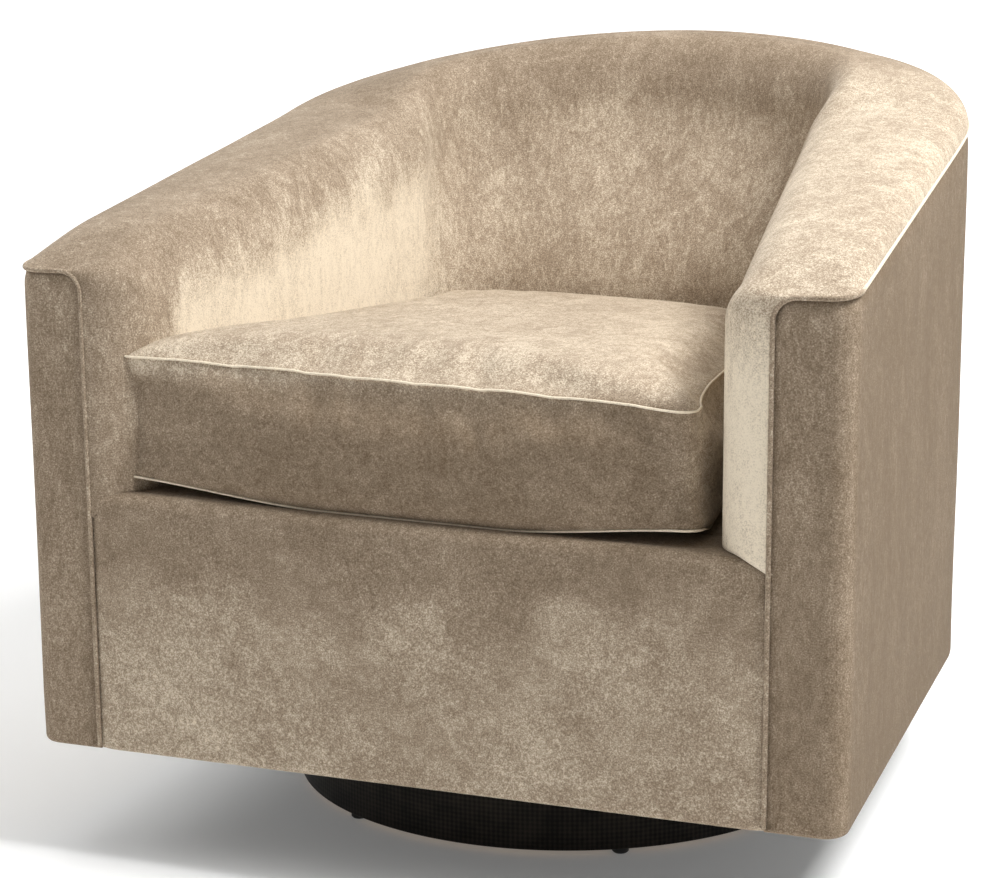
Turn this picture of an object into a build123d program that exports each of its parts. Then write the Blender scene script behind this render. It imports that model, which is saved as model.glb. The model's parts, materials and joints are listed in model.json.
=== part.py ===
from build123d import *
from dataclasses import dataclass
from math import atan2, cos, degrees, hypot, radians, sin, sqrt, tan
import os

# Barrel-back swivel chair in millimetres: front towards -Y, origin on the swivel axis at floor level.

# Clearances
SOFT_GAP = 0.3  # between an upholstered piece and its neighbour
RUN_GAP = 0.1  # between a ball and its race
NUT_GAP = 0.3  # between the pivot nut and the plate that turns under it

# Base plinth
PLINTH_DIAMETER = 560.0
GLIDE_DIAMETER = 16.0
GLIDE_HEIGHT = 6.0
GLIDE_CHAMFER = 1.5
GLIDE_COUNT = 6
DRUM_HEIGHT = 64.0
DRUM_WALL = 18.0
PLINTH_BOARD = 18.0
BRACE_THICKNESS = 18.0
BRACE_HEIGHT = 46.0
PLINTH_COVER = 1.6
PLINTH_TURNOVER = 28.0  # cover folded over the top board

# Swivel bearing
PLATE_SIDE = 178.0
PLATE_CORNER = 14.0
PLATE_THICKNESS = 2.5
SWIVEL_HEIGHT = 22.0
RACE_RADIUS = 60.0
RACE_WIDTH = 32.0
RACE_SHOULDER = 6.0  # slope of the raised race in plan
RACE_PLAY = 4.0  # open height between the two races
BALL_DIAMETER = 8.0
BALL_COUNT = 16
CAGE_THICKNESS = 1.2
CAGE_WIDTH = 15.0
PIVOT_DIAMETER = 16.0
PIVOT_FLANGE_DIAMETER = 28.0
PIVOT_FLANGE = 3.0
PIVOT_NUT_ACROSS = 24.0
PIVOT_NUT_HEIGHT = 9.0
PIVOT_POCKET = 4.0  # room round the pivot flange and nut in the boards
SCREW_SPACING = 140.0
SCREW_DIAMETER = 6.0
SCREW_HEAD_DIAMETER = 13.0
SCREW_HEAD = 3.5
SCREW_BITE = 15.0
TEE_NUT_DIAMETER = 20.0
TEE_NUT_BARREL = 8.0
TEE_NUT_FLANGE = 1.6

# Upholstered body
BODY_WIDTH = 762.0
BODY_DEPTH = 830.0
SIDE_CORNER_RADIUS = 260.0
BACK_RADIUS = 480.0
FRONT_CORNER_RADIUS = 18.0
INSIDE_CORNER_RADIUS = 105.0
INSIDE_BACK_RADIUS = 420.0
INSIDE_TAPER = 6.3  # degrees that each inside arm closes in towards the back
ARM_THICKNESS = 111.0
BACK_THICKNESS = 165.0
BACK_TOP_THICKNESS = 92.0

# Seam line of the arms and back, sloping up the arms and sweeping up to the back
ARM_SEAM_RISE = 442.0  # above the underside of the frame, at the arm front
ARM_SLOPE = 10.4  # degrees
SWEEP_START = 60.0
SWEEP_RADIUS = 1750.0
ARM_FACE_WIDTH = 67.0
ARM_FACE_CORNER = 20.0

# Layers of the wall, from the outside in
COVER_THICKNESS = 8.0
LINER_THICKNESS = 3.0
FRAME_WALL = 30.0
WEBBING_THICKNESS = 2.0
WEBBING_WIDTH = 50.0
WELT_DIAMETER = 6.0
WELT_PROUD = 1.5
HEM_WIDTH = 32.0
HEM_THICKNESS = 1.7
DUST_COVER_THICKNESS = 1.0
DUST_COVER_INSET = 12.0
DUST_COVER_OPENING = 236.0

# Rolled top of the inside pad
RIDGE_RISE = 17.0  # above the seam, at the arm fronts and the middle of the back
ARM_FULLNESS = 10.0  # further rise of the ridge where the arms meet the back
OUTER_ROLL = 24.0
INNER_ROLL = 42.0
INNER_DROP = 70.0
FRONT_ROLL = 49.0
FRONT_TOP_ROLL = 16.0
LUMBAR_RISE = 130.0  # above the deck, where the inside back begins to lean
CORNER_STEPS = 5  # sections of the pad round each corner
BACK_STEPS = 3  # sections of the pad from the corner to the middle of the back
BEND_LEAD = 32.0  # straight run of the pad before its first corner section

# Seat box and its suspension
BOTTOM_BOARD = 18.0
WINDOW_MARGIN = 70.0
WINDOW_CORNER = 40.0
BRIDGE_WIDTH = 230.0
SEAT_BOARD_HEIGHT = 188.0
FRONT_BOARD = 25.0
SEAT_BOARD = 18.0
SEAT_BOARD_LEDGE = 20.0  # how far the side boards reach under the arm pads
SEAT_BACK_SETBACK = 18.0
HAND_HOLE_HEIGHT = 80.0
HAND_HOLE_MARGIN = 90.0
CORNER_BLOCK = 55.0
CORNER_BLOCK_HEIGHT = 45.0
POST_WIDTH = 45.0
ARM_POST_DEPTH = 40.0
TOP_RAIL_HEIGHT = 28.0
TOP_RAIL_COVER = 14.0  # padding over the rail, below the ridge
SPRING_COUNT = 4
SPRING_PITCH = 118.0
SPRING_RUNGS = 12
SPRING_RUNG = 26.0
WIRE_DIAMETER = 3.8
CLIP_THICKNESS = 1.5
CLIP_WIDTH = 20.0
CLIP_DEPTH = 14.0
CLIP_GAP = 0.2
DECK_THICKNESS = 16.5
DECK_GAP = 2.0  # between the deck and the pads round it
FRONT_LIP_DEPTH = 75.0
FRONT_LIP_ROLL = 13.0

# Loose seat cushion
CUSHION_SIDE_ROOM = 18.0  # left and right together
CUSHION_SHIFT = -8.0
CUSHION_BACK_ROOM = 9.0
CUSHION_SETBACK = 12.0  # behind the front face of the chair
CUSHION_BOXING = 120.0
CUSHION_CROWN = 28.0
CROWN_RUN = 66.0  # from the seam to the full height of the crown
CUSHION_CORNER = 14.0
CUSHION_DRAW = 6.0  # seams drawn in from the swell of the sides
CUSHION_BOTTOM_ROLL = 18.0
CUSHION_FRONT_BOW = 8.0
CUSHION_CLOTH = 3.0
SWELL_LEVEL = 48.0  # height of the fullest line of the sides above the cushion's bottom
ZIP_LENGTH = 240.0
ZIP_TAPE = 16.0
ZIP_THICKNESS = 1.6
ZIP_STANDOFF = 1.0  # outside the fullest line of the back
SLIDER_LENGTH = 12.0
SLIDER_HEIGHT = 8.0
SLIDER_THICKNESS = 2.4

TALL = 2000.0  # reach of the cutting blocks


@dataclass
class Tub:
    """Plan of a tub: straight sides, two corner arcs and a flatter back arc, tangent to each other.

    The half-width is measured at the front, and each side closes in towards the back by the taper.
    """

    half_width: float
    front: float
    back: float
    corner_radius: float
    back_radius: float
    taper: float = 0.0  # degrees

    @property
    def back_centre(self):
        return self.back - self.back_radius

    def side_x(self, y):
        """X of the right side's line at this distance back."""
        return self.half_width - (y - self.front) * tan(radians(self.taper))

    @property
    def corner_y(self):
        """Y of the corner arcs' centres, where they lie the two radii's difference from the back arc's centre."""
        slope = tan(radians(self.taper))
        start = self.side_x(0) - self.corner_radius / cos(radians(self.taper))
        middle = slope * start + self.back_centre
        apart = (self.back_radius - self.corner_radius) ** 2 - start**2 - self.back_centre**2
        return (middle + sqrt(middle**2 + (1 + slope**2) * apart)) / (1 + slope**2)

    @property
    def corner_x(self):
        """X of the right corner arc's centre."""
        return self.side_x(self.corner_y) - self.corner_radius / cos(radians(self.taper))

    @property
    def side_end(self):
        return self.corner_y + self.corner_radius * sin(radians(self.taper))

    @property
    def back_turn(self):
        """Half the angle of the back arc, in degrees."""
        return degrees(atan2(self.corner_x, self.corner_y - self.back_centre))

    def inset(self, distance):
        front = self.front + distance
        return Tub(
            self.side_x(front) - distance / cos(radians(self.taper)),
            front,
            self.back - distance,
            self.corner_radius - distance,
            self.back_radius - distance,
            self.taper,
        )

    def corner_point(self, angle):
        """Point of the right corner arc whose normal makes this angle with +X."""
        return (
            self.corner_x + self.corner_radius * cos(radians(angle)),
            self.corner_y + self.corner_radius * sin(radians(angle)),
        )

    def back_point(self, angle):
        """Point of the back arc whose normal makes this angle with +X."""
        return (
            self.back_radius * cos(radians(angle)),
            self.back_centre + self.back_radius * sin(radians(angle)),
        )

    def outside_by(self, x, y):
        """Distance of a point outside the outline, negative inside it; the front edge is not counted."""
        turn = radians(self.taper)
        if (y - self.corner_y) * cos(turn) < (abs(x) - self.corner_x) * sin(turn):
            return (abs(x) - self.side_x(y)) * cos(turn)
        if atan2(abs(x), y - self.back_centre) < radians(self.back_turn):
            return hypot(x, y - self.back_centre) - self.back_radius
        return hypot(abs(x) - self.corner_x, y - self.corner_y) - self.corner_radius

    def face(self, front_radius=0.0, front_bow=0.0):
        """The closed plan, with its front corners rounded and its front edge bowed forward."""
        joint_angle = 90 - self.back_turn
        reach = front_radius / tan(radians(90 - self.taper) / 2)
        shoulder = self.half_width - reach
        side_start = self.front + reach * cos(radians(self.taper))
        edges = []
        if front_bow:
            ends = ((-shoulder, self.front), (0, self.front - front_bow), (shoulder, self.front))
            edges.append(ThreePointArc(*ends))
        else:
            edges.append(Line((-shoulder, self.front), (shoulder, self.front)))
        for side in (1, -1):
            joint = self.corner_point(joint_angle)
            bend = self.corner_point((self.taper + joint_angle) / 2)
            near_end = (side * self.side_x(side_start), side_start)
            far_end = (side * self.side_x(self.side_end), self.side_end)
            if front_radius:
                pull = front_radius / hypot(reach, front_radius)
                middle = (side * (shoulder + reach * pull), self.front + front_radius * (1 - pull))
                edges.append(ThreePointArc((side * shoulder, self.front), middle, near_end))
            edges.append(Line(near_end, far_end))
            edges.append(ThreePointArc(far_end, (side * bend[0], bend[1]), (side * joint[0], joint[1])))
        edges.append(ThreePointArc(joint, (0, self.back), (-joint[0], joint[1])))
        return make_face(edges)


# Levels, from the floor up
drum_top = GLIDE_HEIGHT + DRUM_HEIGHT
base_top = drum_top + PLINTH_BOARD
frame_bottom = base_top + SWIVEL_HEIGHT
board_top = frame_bottom + BOTTOM_BOARD
seat_top = board_top + SEAT_BOARD_HEIGHT
wire_level = seat_top + CLIP_THICKNESS + CLIP_GAP + WIRE_DIAMETER / 2
clip_top = wire_level + WIRE_DIAMETER / 2 + CLIP_GAP + CLIP_THICKNESS
deck_bottom = clip_top + SOFT_GAP
deck_top = deck_bottom + DECK_THICKNESS
arm_seam = frame_bottom + ARM_SEAM_RISE
hem_bottom = frame_bottom - SOFT_GAP - HEM_THICKNESS
ball_level = base_top + SWIVEL_HEIGHT / 2

# Plan
half_width = BODY_WIDTH / 2
front_y = -BODY_DEPTH / 2
back_y = BODY_DEPTH / 2
outside = Tub(half_width, front_y, back_y, SIDE_CORNER_RADIUS, BACK_RADIUS)
inside = Tub(
    half_width - ARM_THICKNESS,
    front_y,
    back_y - BACK_THICKNESS,
    INSIDE_CORNER_RADIUS,
    INSIDE_BACK_RADIUS,
    INSIDE_TAPER,
)
seam_x = half_width - ARM_FACE_WIDTH
liner_inset = COVER_THICKNESS + SOFT_GAP
frame_inset = liner_inset + LINER_THICKNESS + SOFT_GAP
webbing_inset = frame_inset + FRAME_WALL + SOFT_GAP
pad_inset = webbing_inset + WEBBING_THICKNESS + SOFT_GAP
frame_front = front_y + frame_inset
seat_side_x = inside.half_width + SEAT_BOARD_LEDGE
seat_back_y = inside.back - SEAT_BACK_SETBACK
welt_reach = WELT_DIAMETER / 2
plinth_radius = PLINTH_DIAMETER / 2
drum_radius = plinth_radius - PLINTH_COVER - SOFT_GAP


def seam_height(y):
    """Height of the seam between the outside cover and the inside pad, at this distance back."""
    slope = radians(ARM_SLOPE)
    if y <= SWEEP_START:
        return arm_seam + (y - front_y) * tan(slope)
    start = arm_seam + (SWEEP_START - front_y) * tan(slope)
    swept = sin(slope) + (y - SWEEP_START) / SWEEP_RADIUS
    return start + SWEEP_RADIUS * (cos(slope) - sqrt(1 - swept**2))


def above_seam(offset):
    """Block of everything above the seam line raised by an offset."""
    near = front_y - half_width
    far = back_y + OUTER_ROLL
    middle = (SWEEP_START + far) / 2
    profile = [
        Line((near, seam_height(near) + offset), (SWEEP_START, seam_height(SWEEP_START) + offset)),
        ThreePointArc(
            (SWEEP_START, seam_height(SWEEP_START) + offset),
            (middle, seam_height(middle) + offset),
            (far, seam_height(far) + offset),
        ),
        Line((far, seam_height(far) + offset), (far, TALL)),
        Line((far, TALL), (near, TALL)),
        Line((near, TALL), (near, seam_height(near) + offset)),
    ]
    return extrude(Plane.YZ * make_face(profile), amount=TALL, both=True)


def block(x0, x1, y0, y1, z0, z1):
    """Box between two corners."""
    size = Box(x1 - x0, y1 - y0, z1 - z0, align=(Align.MIN, Align.MIN, Align.MIN))
    return Pos(x0, y0, z0) * size


def ring(outer_inset, inner_inset, bottom, height):
    """Upright wall that follows the outside plan between two insets."""
    outer = outside.inset(outer_inset).face(max(FRONT_CORNER_RADIUS - outer_inset, 0))
    inner = outside.inset(inner_inset).face(max(FRONT_CORNER_RADIUS - inner_inset, 0))
    return Pos(0, 0, bottom) * extrude(outer - inner, amount=height)


def wall(outer_inset, inner_inset, bottom, seam_offset):
    """Upright wall that ends at an offset from the seam line."""
    return ring(outer_inset, inner_inset, bottom, TALL / 2) - above_seam(seam_offset)


def front_gap(half_gap, depth, top=TALL):
    """Block that opens the front of a wall between the arms."""
    return block(-half_gap, half_gap, front_y - WELT_DIAMETER, front_y + depth, 0, top)


def mirrored(solid):
    """The same piece on the left side."""
    return mirror(solid, about=Plane.YZ)


def group(solids):
    """Separate solids that share one node."""
    return Compound([solid for shape in solids for solid in shape.solids()])


def round_hole(x, y, diameter, bottom, height):
    return Pos(x, y, bottom) * Cylinder(diameter / 2, height, align=(Align.CENTER, Align.CENTER, Align.MIN))


def screw_places():
    reach = SCREW_SPACING / 2
    return [(x, y) for x in (-reach, reach) for y in (-reach, reach)]


def base_glides():
    """Round glides under the wall of the drum."""
    glide = round_hole(0, 0, GLIDE_DIAMETER, 0, GLIDE_HEIGHT)
    glide = chamfer(glide.edges().group_by(Axis.Z)[0], GLIDE_CHAMFER)
    return group(PolarLocations(drum_radius - DRUM_WALL / 2, GLIDE_COUNT) * glide)


def base_drum():
    """Bent plywood ring that carries the chair."""
    wall_ring = Circle(drum_radius) - Circle(drum_radius - DRUM_WALL)
    return Pos(0, 0, GLIDE_HEIGHT) * extrude(wall_ring, amount=DRUM_HEIGHT)


def base_top_board():
    """Round board on the drum, bored for the pivot and the screws of the lower plate."""
    board = round_hole(0, 0, 2 * drum_radius, drum_top, PLINTH_BOARD)
    board -= round_hole(0, 0, PIVOT_FLANGE_DIAMETER + 2 * PIVOT_POCKET, drum_top, PLINTH_BOARD)
    for x, y in screw_places():
        board -= round_hole(x, y, SCREW_DIAMETER, base_top - SCREW_BITE, SCREW_BITE)
    return board


def base_brace(across):
    """One of two boards, halved where they cross, that stiffen the top board."""
    length = 2 * sqrt((drum_radius - DRUM_WALL) ** 2 - (BRACE_THICKNESS / 2) ** 2) - 2 * SOFT_GAP
    bottom = drum_top - BRACE_HEIGHT
    half = BRACE_THICKNESS / 2
    brace = block(-length / 2, length / 2, -half, half, bottom, drum_top)
    notch_bottom = bottom if across else bottom + BRACE_HEIGHT / 2
    brace -= block(-half, half, -half, half, notch_bottom, notch_bottom + BRACE_HEIGHT / 2)
    brace -= round_hole(0, 0, PIVOT_FLANGE_DIAMETER + 2 * PIVOT_POCKET, drum_top - PIVOT_FLANGE, PIVOT_FLANGE)
    return Rot(0, 0, 45 if across else -45) * brace


def base_cover():
    """Cloth sleeve round the drum, folded in over the rim of the top board."""
    sleeve = Circle(plinth_radius) - Circle(plinth_radius - PLINTH_COVER)
    cover = Pos(0, 0, GLIDE_HEIGHT) * extrude(sleeve, amount=base_top + SOFT_GAP - GLIDE_HEIGHT)
    fold = Circle(plinth_radius) - Circle(plinth_radius - PLINTH_TURNOVER)
    return cover + Pos(0, 0, base_top + SOFT_GAP) * extrude(fold, amount=PLINTH_COVER)


def swivel_plate():
    """Pressed plate lying at level zero, with a hollow raised ring that carries the ball race."""
    plate = extrude(RectangleRounded(PLATE_SIDE, PLATE_SIDE, PLATE_CORNER), amount=PLATE_THICKNESS)
    inner = RACE_RADIUS - RACE_WIDTH / 2
    outer = RACE_RADIUS + RACE_WIDTH / 2
    rise = (SWIVEL_HEIGHT - RACE_PLAY) / 2
    hollow = SWIVEL_HEIGHT / 2 - BALL_DIAMETER / 2 - PLATE_THICKNESS
    hat = Polygon(
        (inner, 0), (outer, 0), (outer - RACE_SHOULDER, rise), (inner + RACE_SHOULDER, rise), align=None
    )
    lean = RACE_SHOULDER * hollow / rise
    under = Polygon(
        (inner + PLATE_THICKNESS, 0),
        (outer - PLATE_THICKNESS, 0),
        (outer - PLATE_THICKNESS - lean, hollow),
        (inner + PLATE_THICKNESS + lean, hollow),
        align=None,
    )
    groove = Pos(RACE_RADIUS, SWIVEL_HEIGHT / 2) * Circle(BALL_DIAMETER / 2 + RUN_GAP)
    plate += revolve(Plane.XZ * hat, Axis.Z)
    plate -= revolve(Plane.XZ * under, Axis.Z)
    plate -= revolve(Plane.XZ * groove, Axis.Z)
    for x, y in screw_places():
        plate -= round_hole(x, y, SCREW_DIAMETER, 0, PLATE_THICKNESS)
    return plate


def swivel_lower_plate():
    plate = swivel_plate() - round_hole(0, 0, PIVOT_DIAMETER, 0, PLATE_THICKNESS)
    return Pos(0, 0, base_top) * plate


def swivel_upper_plate():
    plate = swivel_plate() - round_hole(0, 0, PIVOT_DIAMETER + 2 * RUN_GAP, 0, PLATE_THICKNESS)
    return Pos(0, 0, frame_bottom) * Rot(180, 0, 0) * plate


def swivel_pivot():
    """Headed pin riveted into the lower plate; the upper plate turns on it."""
    length = SWIVEL_HEIGHT + NUT_GAP + PIVOT_NUT_HEIGHT
    pin = round_hole(0, 0, PIVOT_DIAMETER, base_top, length)
    return pin + round_hole(0, 0, PIVOT_FLANGE_DIAMETER, base_top - PIVOT_FLANGE, PIVOT_FLANGE)


def pivot_nut():
    """Locking nut just above the upper plate."""
    nut = extrude(RegularPolygon(PIVOT_NUT_ACROSS / 2, 6, major_radius=False), amount=PIVOT_NUT_HEIGHT)
    nut -= round_hole(0, 0, PIVOT_DIAMETER, 0, PIVOT_NUT_HEIGHT)
    return Pos(0, 0, frame_bottom + NUT_GAP) * nut


def swivel_ball_cage():
    """Flat ring with a pocket for each ball."""
    cage = extrude(
        Circle(RACE_RADIUS + CAGE_WIDTH / 2) - Circle(RACE_RADIUS - CAGE_WIDTH / 2), amount=CAGE_THICKNESS
    )
    pocket = round_hole(0, 0, BALL_DIAMETER + 2 * RUN_GAP, 0, CAGE_THICKNESS)
    for place in PolarLocations(RACE_RADIUS, BALL_COUNT):
        cage -= place * pocket
    return Pos(0, 0, ball_level - CAGE_THICKNESS / 2) * cage


def swivel_balls():
    ball = Pos(0, 0, ball_level) * Sphere(BALL_DIAMETER / 2)
    return group(PolarLocations(RACE_RADIUS, BALL_COUNT) * ball)


def swivel_base_screws():
    """Screws that hold the lower plate down on the plinth."""
    screws = []
    for x, y in screw_places():
        seat = base_top + PLATE_THICKNESS
        shank = round_hole(x, y, SCREW_DIAMETER, base_top - SCREW_BITE, SCREW_BITE + PLATE_THICKNESS)
        screws.append(shank + round_hole(x, y, SCREW_HEAD_DIAMETER, seat, SCREW_HEAD))
    return group(screws)


def swivel_frame_bolts():
    """Bolts that hold the upper plate up against the bottom board."""
    bolts = []
    for x, y in screw_places():
        seat = frame_bottom - PLATE_THICKNESS
        shank = round_hole(x, y, SCREW_DIAMETER, seat, PLATE_THICKNESS + BOTTOM_BOARD)
        bolts.append(shank + round_hole(x, y, SCREW_HEAD_DIAMETER, seat - SCREW_HEAD, SCREW_HEAD))
    return group(bolts)


def swivel_tee_nuts():
    """Flanged nuts let into the bottom board from above."""
    nuts = []
    for x, y in screw_places():
        nut = round_hole(x, y, TEE_NUT_DIAMETER, board_top, TEE_NUT_FLANGE)
        nut += round_hole(x, y, TEE_NUT_BARREL, frame_bottom + BOTTOM_BOARD / 2, BOTTOM_BOARD / 2)
        nuts.append(nut - round_hole(x, y, SCREW_DIAMETER, frame_bottom, BOTTOM_BOARD + TEE_NUT_FLANGE))
    return group(nuts)


def bottom_board():
    """Tub-shaped board with a front and a back window; the bridge between them carries the swivel."""
    plan = outside.inset(frame_inset)
    board = extrude(plan.face(max(FRONT_CORNER_RADIUS - frame_inset, 0)), amount=BOTTOM_BOARD)
    windows = plan.inset(WINDOW_MARGIN).face() - Rectangle(BODY_WIDTH, BRIDGE_WIDTH)
    windows = extrude(windows, amount=BOTTOM_BOARD)
    corners = windows.edges().filter_by(Axis.Z)
    corners = corners.filter_by(lambda edge: edge.center().Y <= BRIDGE_WIDTH / 2 + SOFT_GAP)
    board -= fillet(corners, WINDOW_CORNER)
    board -= round_hole(0, 0, PIVOT_NUT_ACROSS + 4 * PIVOT_POCKET, 0, BOTTOM_BOARD)
    for x, y in screw_places():
        board -= round_hole(x, y, SCREW_DIAMETER, 0, BOTTOM_BOARD)
        board -= round_hole(x, y, TEE_NUT_BARREL, BOTTOM_BOARD / 2, BOTTOM_BOARD / 2)
    return Pos(0, 0, frame_bottom) * board


def hand_hole(length):
    """Long oval that lightens a board, centred on the origin and lying along X."""
    return extrude(SlotOverall(length, HAND_HOLE_HEIGHT), amount=TALL / 2, both=True)


def front_board():
    """Board behind the front panel, between the arm posts."""
    reach = half_width - frame_inset - FRAME_WALL - SOFT_GAP
    board = block(-reach, reach, frame_front, frame_front + FRONT_BOARD, board_top, seat_top)
    length = 2 * (reach - 2 * HAND_HOLE_MARGIN)
    hole = Pos(0, 0, (board_top + seat_top) / 2) * Rot(90, 0, 0) * hand_hole(length)
    return board - hole


def seat_side_board():
    """Right side of the seat box, standing on the bottom board."""
    front = frame_front + FRONT_BOARD
    board = block(seat_side_x - SEAT_BOARD, seat_side_x, front, seat_back_y, board_top, seat_top)
    middle = (front + seat_back_y) / 2
    hole = hand_hole(seat_back_y - front - 2 * HAND_HOLE_MARGIN)
    return board - Pos(0, middle, (board_top + seat_top) / 2) * Rot(0, 0, 90) * Rot(90, 0, 0) * hole


def seat_back_board():
    reach = seat_side_x - SEAT_BOARD
    board = block(-reach, reach, seat_back_y - SEAT_BOARD, seat_back_y, board_top, seat_top)
    hole = hand_hole(2 * (reach - HAND_HOLE_MARGIN))
    return board - Pos(0, 0, (board_top + seat_top) / 2) * Rot(90, 0, 0) * hole


def corner_blocks():
    """Glued blocks in the four inner corners of the seat box."""
    wedge = Polygon((0, 0), (-CORNER_BLOCK, 0), (0, CORNER_BLOCK), align=None)
    wedge = extrude(wedge, amount=CORNER_BLOCK_HEIGHT)
    level = seat_top - CORNER_BLOCK_HEIGHT - CLIP_WIDTH
    front = Pos(seat_side_x - SEAT_BOARD, frame_front + FRONT_BOARD, level) * wedge
    back = Pos(seat_side_x - SEAT_BOARD, seat_back_y - SEAT_BOARD, level) * mirror(wedge, about=Plane.XZ)
    return group([front, back, mirrored(front), mirrored(back)])


def rail_underside():
    """Offset of the underside of the top rail from the seam line."""
    return RIDGE_RISE - TOP_RAIL_COVER - TOP_RAIL_HEIGHT


def frame_wall_slice(slice_block):
    """Upright of the wall frame where a block crosses it."""
    return wall(frame_inset, frame_inset + FRAME_WALL, board_top, rail_underside()) & slice_block


def arm_post():
    """Right front upright."""
    x1 = half_width - frame_inset
    return frame_wall_slice(
        block(x1 - FRAME_WALL, x1, frame_front, frame_front + ARM_POST_DEPTH, board_top, TALL)
    )


def radial_block(angle, width):
    """Upright block across the wall at a place given by its outward angle from +X."""
    if angle < 90 - outside.back_turn:
        centre = (outside.corner_x, outside.side_end)
    else:
        centre = (0, outside.back_centre)
    arm = block(0, TALL / 2, -width / 2, width / 2, 0, TALL)
    return Pos(*centre) * Rot(0, 0, angle) * arm


def side_post():
    """Right upright halfway along the arm."""
    x0 = half_width / 2
    middle = (front_y + outside.side_end) / 2 + POST_WIDTH
    return frame_wall_slice(block(x0, half_width, middle, middle + POST_WIDTH, board_top, TALL))


def corner_post():
    """Right upright in the corner of the tub."""
    return frame_wall_slice(radial_block((90 - outside.back_turn) / 2, POST_WIDTH))


def back_post():
    return frame_wall_slice(radial_block(90, POST_WIDTH))


def top_rail():
    """Laminated rail that follows the slope of the arms and the sweep of the back."""
    rail = wall(frame_inset, frame_inset + FRAME_WALL, board_top, RIDGE_RISE - TOP_RAIL_COVER)
    rail &= above_seam(rail_underside())
    return rail - front_gap(half_width - frame_inset - FRAME_WALL, frame_inset + 2 * FRAME_WALL)


def outer_liner():
    """Bent sheet over the posts that backs the outside cover."""
    liner = wall(liner_inset, liner_inset + LINER_THICKNESS, frame_bottom, -welt_reach - SOFT_GAP)
    return liner - front_gap(half_width, frame_inset)


def arm_face_block(grow, near, far):
    """Right arm front seen from the front, grown all round, with its rounded inner top corner."""
    low = hem_bottom
    top = arm_seam + grow
    left = seam_x - grow
    right = half_width + WELT_DIAMETER
    face = Pos((left + right) / 2, (low + top) / 2) * Rectangle(right - left, top - low)
    corner = face.vertices().sort_by(Axis.X)[:2].sort_by(Axis.Y)[-1]
    face = fillet(corner, ARM_FACE_CORNER + grow)
    return Pos(0, far, 0) * extrude(Plane.XZ * face, amount=far - near)


def arm_front_board():
    """Right facing board on the arm post, behind the arm front."""
    near = front_y + liner_inset
    board = arm_face_block(-welt_reach - SOFT_GAP, near, near + LINER_THICKNESS)
    board -= block(half_width - max(frame_inset, FRONT_CORNER_RADIUS), TALL, front_y, 0, 0, TALL)
    return board - block(0, TALL, front_y, 0, 0, board_top)


def wall_webbing():
    """Upright straps between the posts that carry the inside pad."""
    band = wall(webbing_inset, webbing_inset + WEBBING_THICKNESS, board_top + SOFT_GAP, -WELT_DIAMETER)
    post_angle = (90 - outside.back_turn) / 2
    straps = []
    for angle in (post_angle / 2, post_angle * 3 / 2, 90 - outside.back_turn / 2):
        strap = band & radial_block(angle, WEBBING_WIDTH)
        straps += [strap, mirrored(strap)]
    for place in (front_y + half_width / 2, -half_width / 4):
        strap = band & block(half_width / 2, half_width, place, place + WEBBING_WIDTH, 0, TALL)
        straps += [strap, mirrored(strap)]
    return group(straps)


def spring_rungs():
    """Places of the rungs of a zigzag spring, front to back."""
    first = frame_front + FRONT_BOARD / 2
    last = seat_back_y - SEAT_BOARD / 2
    step = (last - first) / (SPRING_RUNGS - 1)
    return [first + step * index for index in range(SPRING_RUNGS)]


def spring_places():
    first = -SPRING_PITCH * (SPRING_COUNT - 1) / 2
    return [first + SPRING_PITCH * index for index in range(SPRING_COUNT)]


def seat_springs():
    """Zigzag wire springs from the front board to the back board."""
    rungs = spring_rungs()
    reach = SPRING_RUNG / 2
    bend = (rungs[1] - rungs[0]) / 2
    edges = []
    side = 1
    for index, y in enumerate(rungs):
        edges.append(Line((-side * reach, y), (side * reach, y)))
        if index < len(rungs) - 1:
            turn = (side * (reach + bend), y + bend)
            edges.append(ThreePointArc((side * reach, y), turn, (side * reach, rungs[index + 1])))
        side = -side
    path = Wire(edges)
    start = Plane(origin=(-reach, rungs[0], 0), z_dir=(1, 0, 0))
    spring = sweep(start * Circle(WIRE_DIAMETER / 2), path=path)
    return group(Pos(x, 0, wire_level) * spring for x in spring_places())


def spring_clips():
    """Folded steel clips that hold the end rungs down on the boards."""
    depth = CLIP_DEPTH / 2
    opening = wire_level - WIRE_DIAMETER / 2 - CLIP_GAP
    roof = wire_level + WIRE_DIAMETER / 2 + CLIP_GAP
    half = CLIP_WIDTH / 2
    rungs = spring_rungs()
    clips = []
    for x in spring_places():
        for y, shut in ((rungs[0], -1), (rungs[-1], 1)):
            clip = block(x - half, x + half, y - depth, y + depth, seat_top, clip_top)
            slot = block(x - half, x + half, y - depth, y + depth, opening, roof)
            clips.append(clip - Pos(0, -shut * CLIP_THICKNESS, 0) * slot)
    return group(clips)


def seat_deck():
    """Felted pad over the springs, between the arm pads."""
    plan = inside.inset(DECK_GAP)
    deck = extrude(plan.face(), amount=DECK_THICKNESS)
    deck -= block(-half_width, half_width, front_y, front_y + FRONT_LIP_DEPTH + SOFT_GAP, 0, DECK_THICKNESS)
    return Pos(0, 0, deck_bottom) * deck


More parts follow.
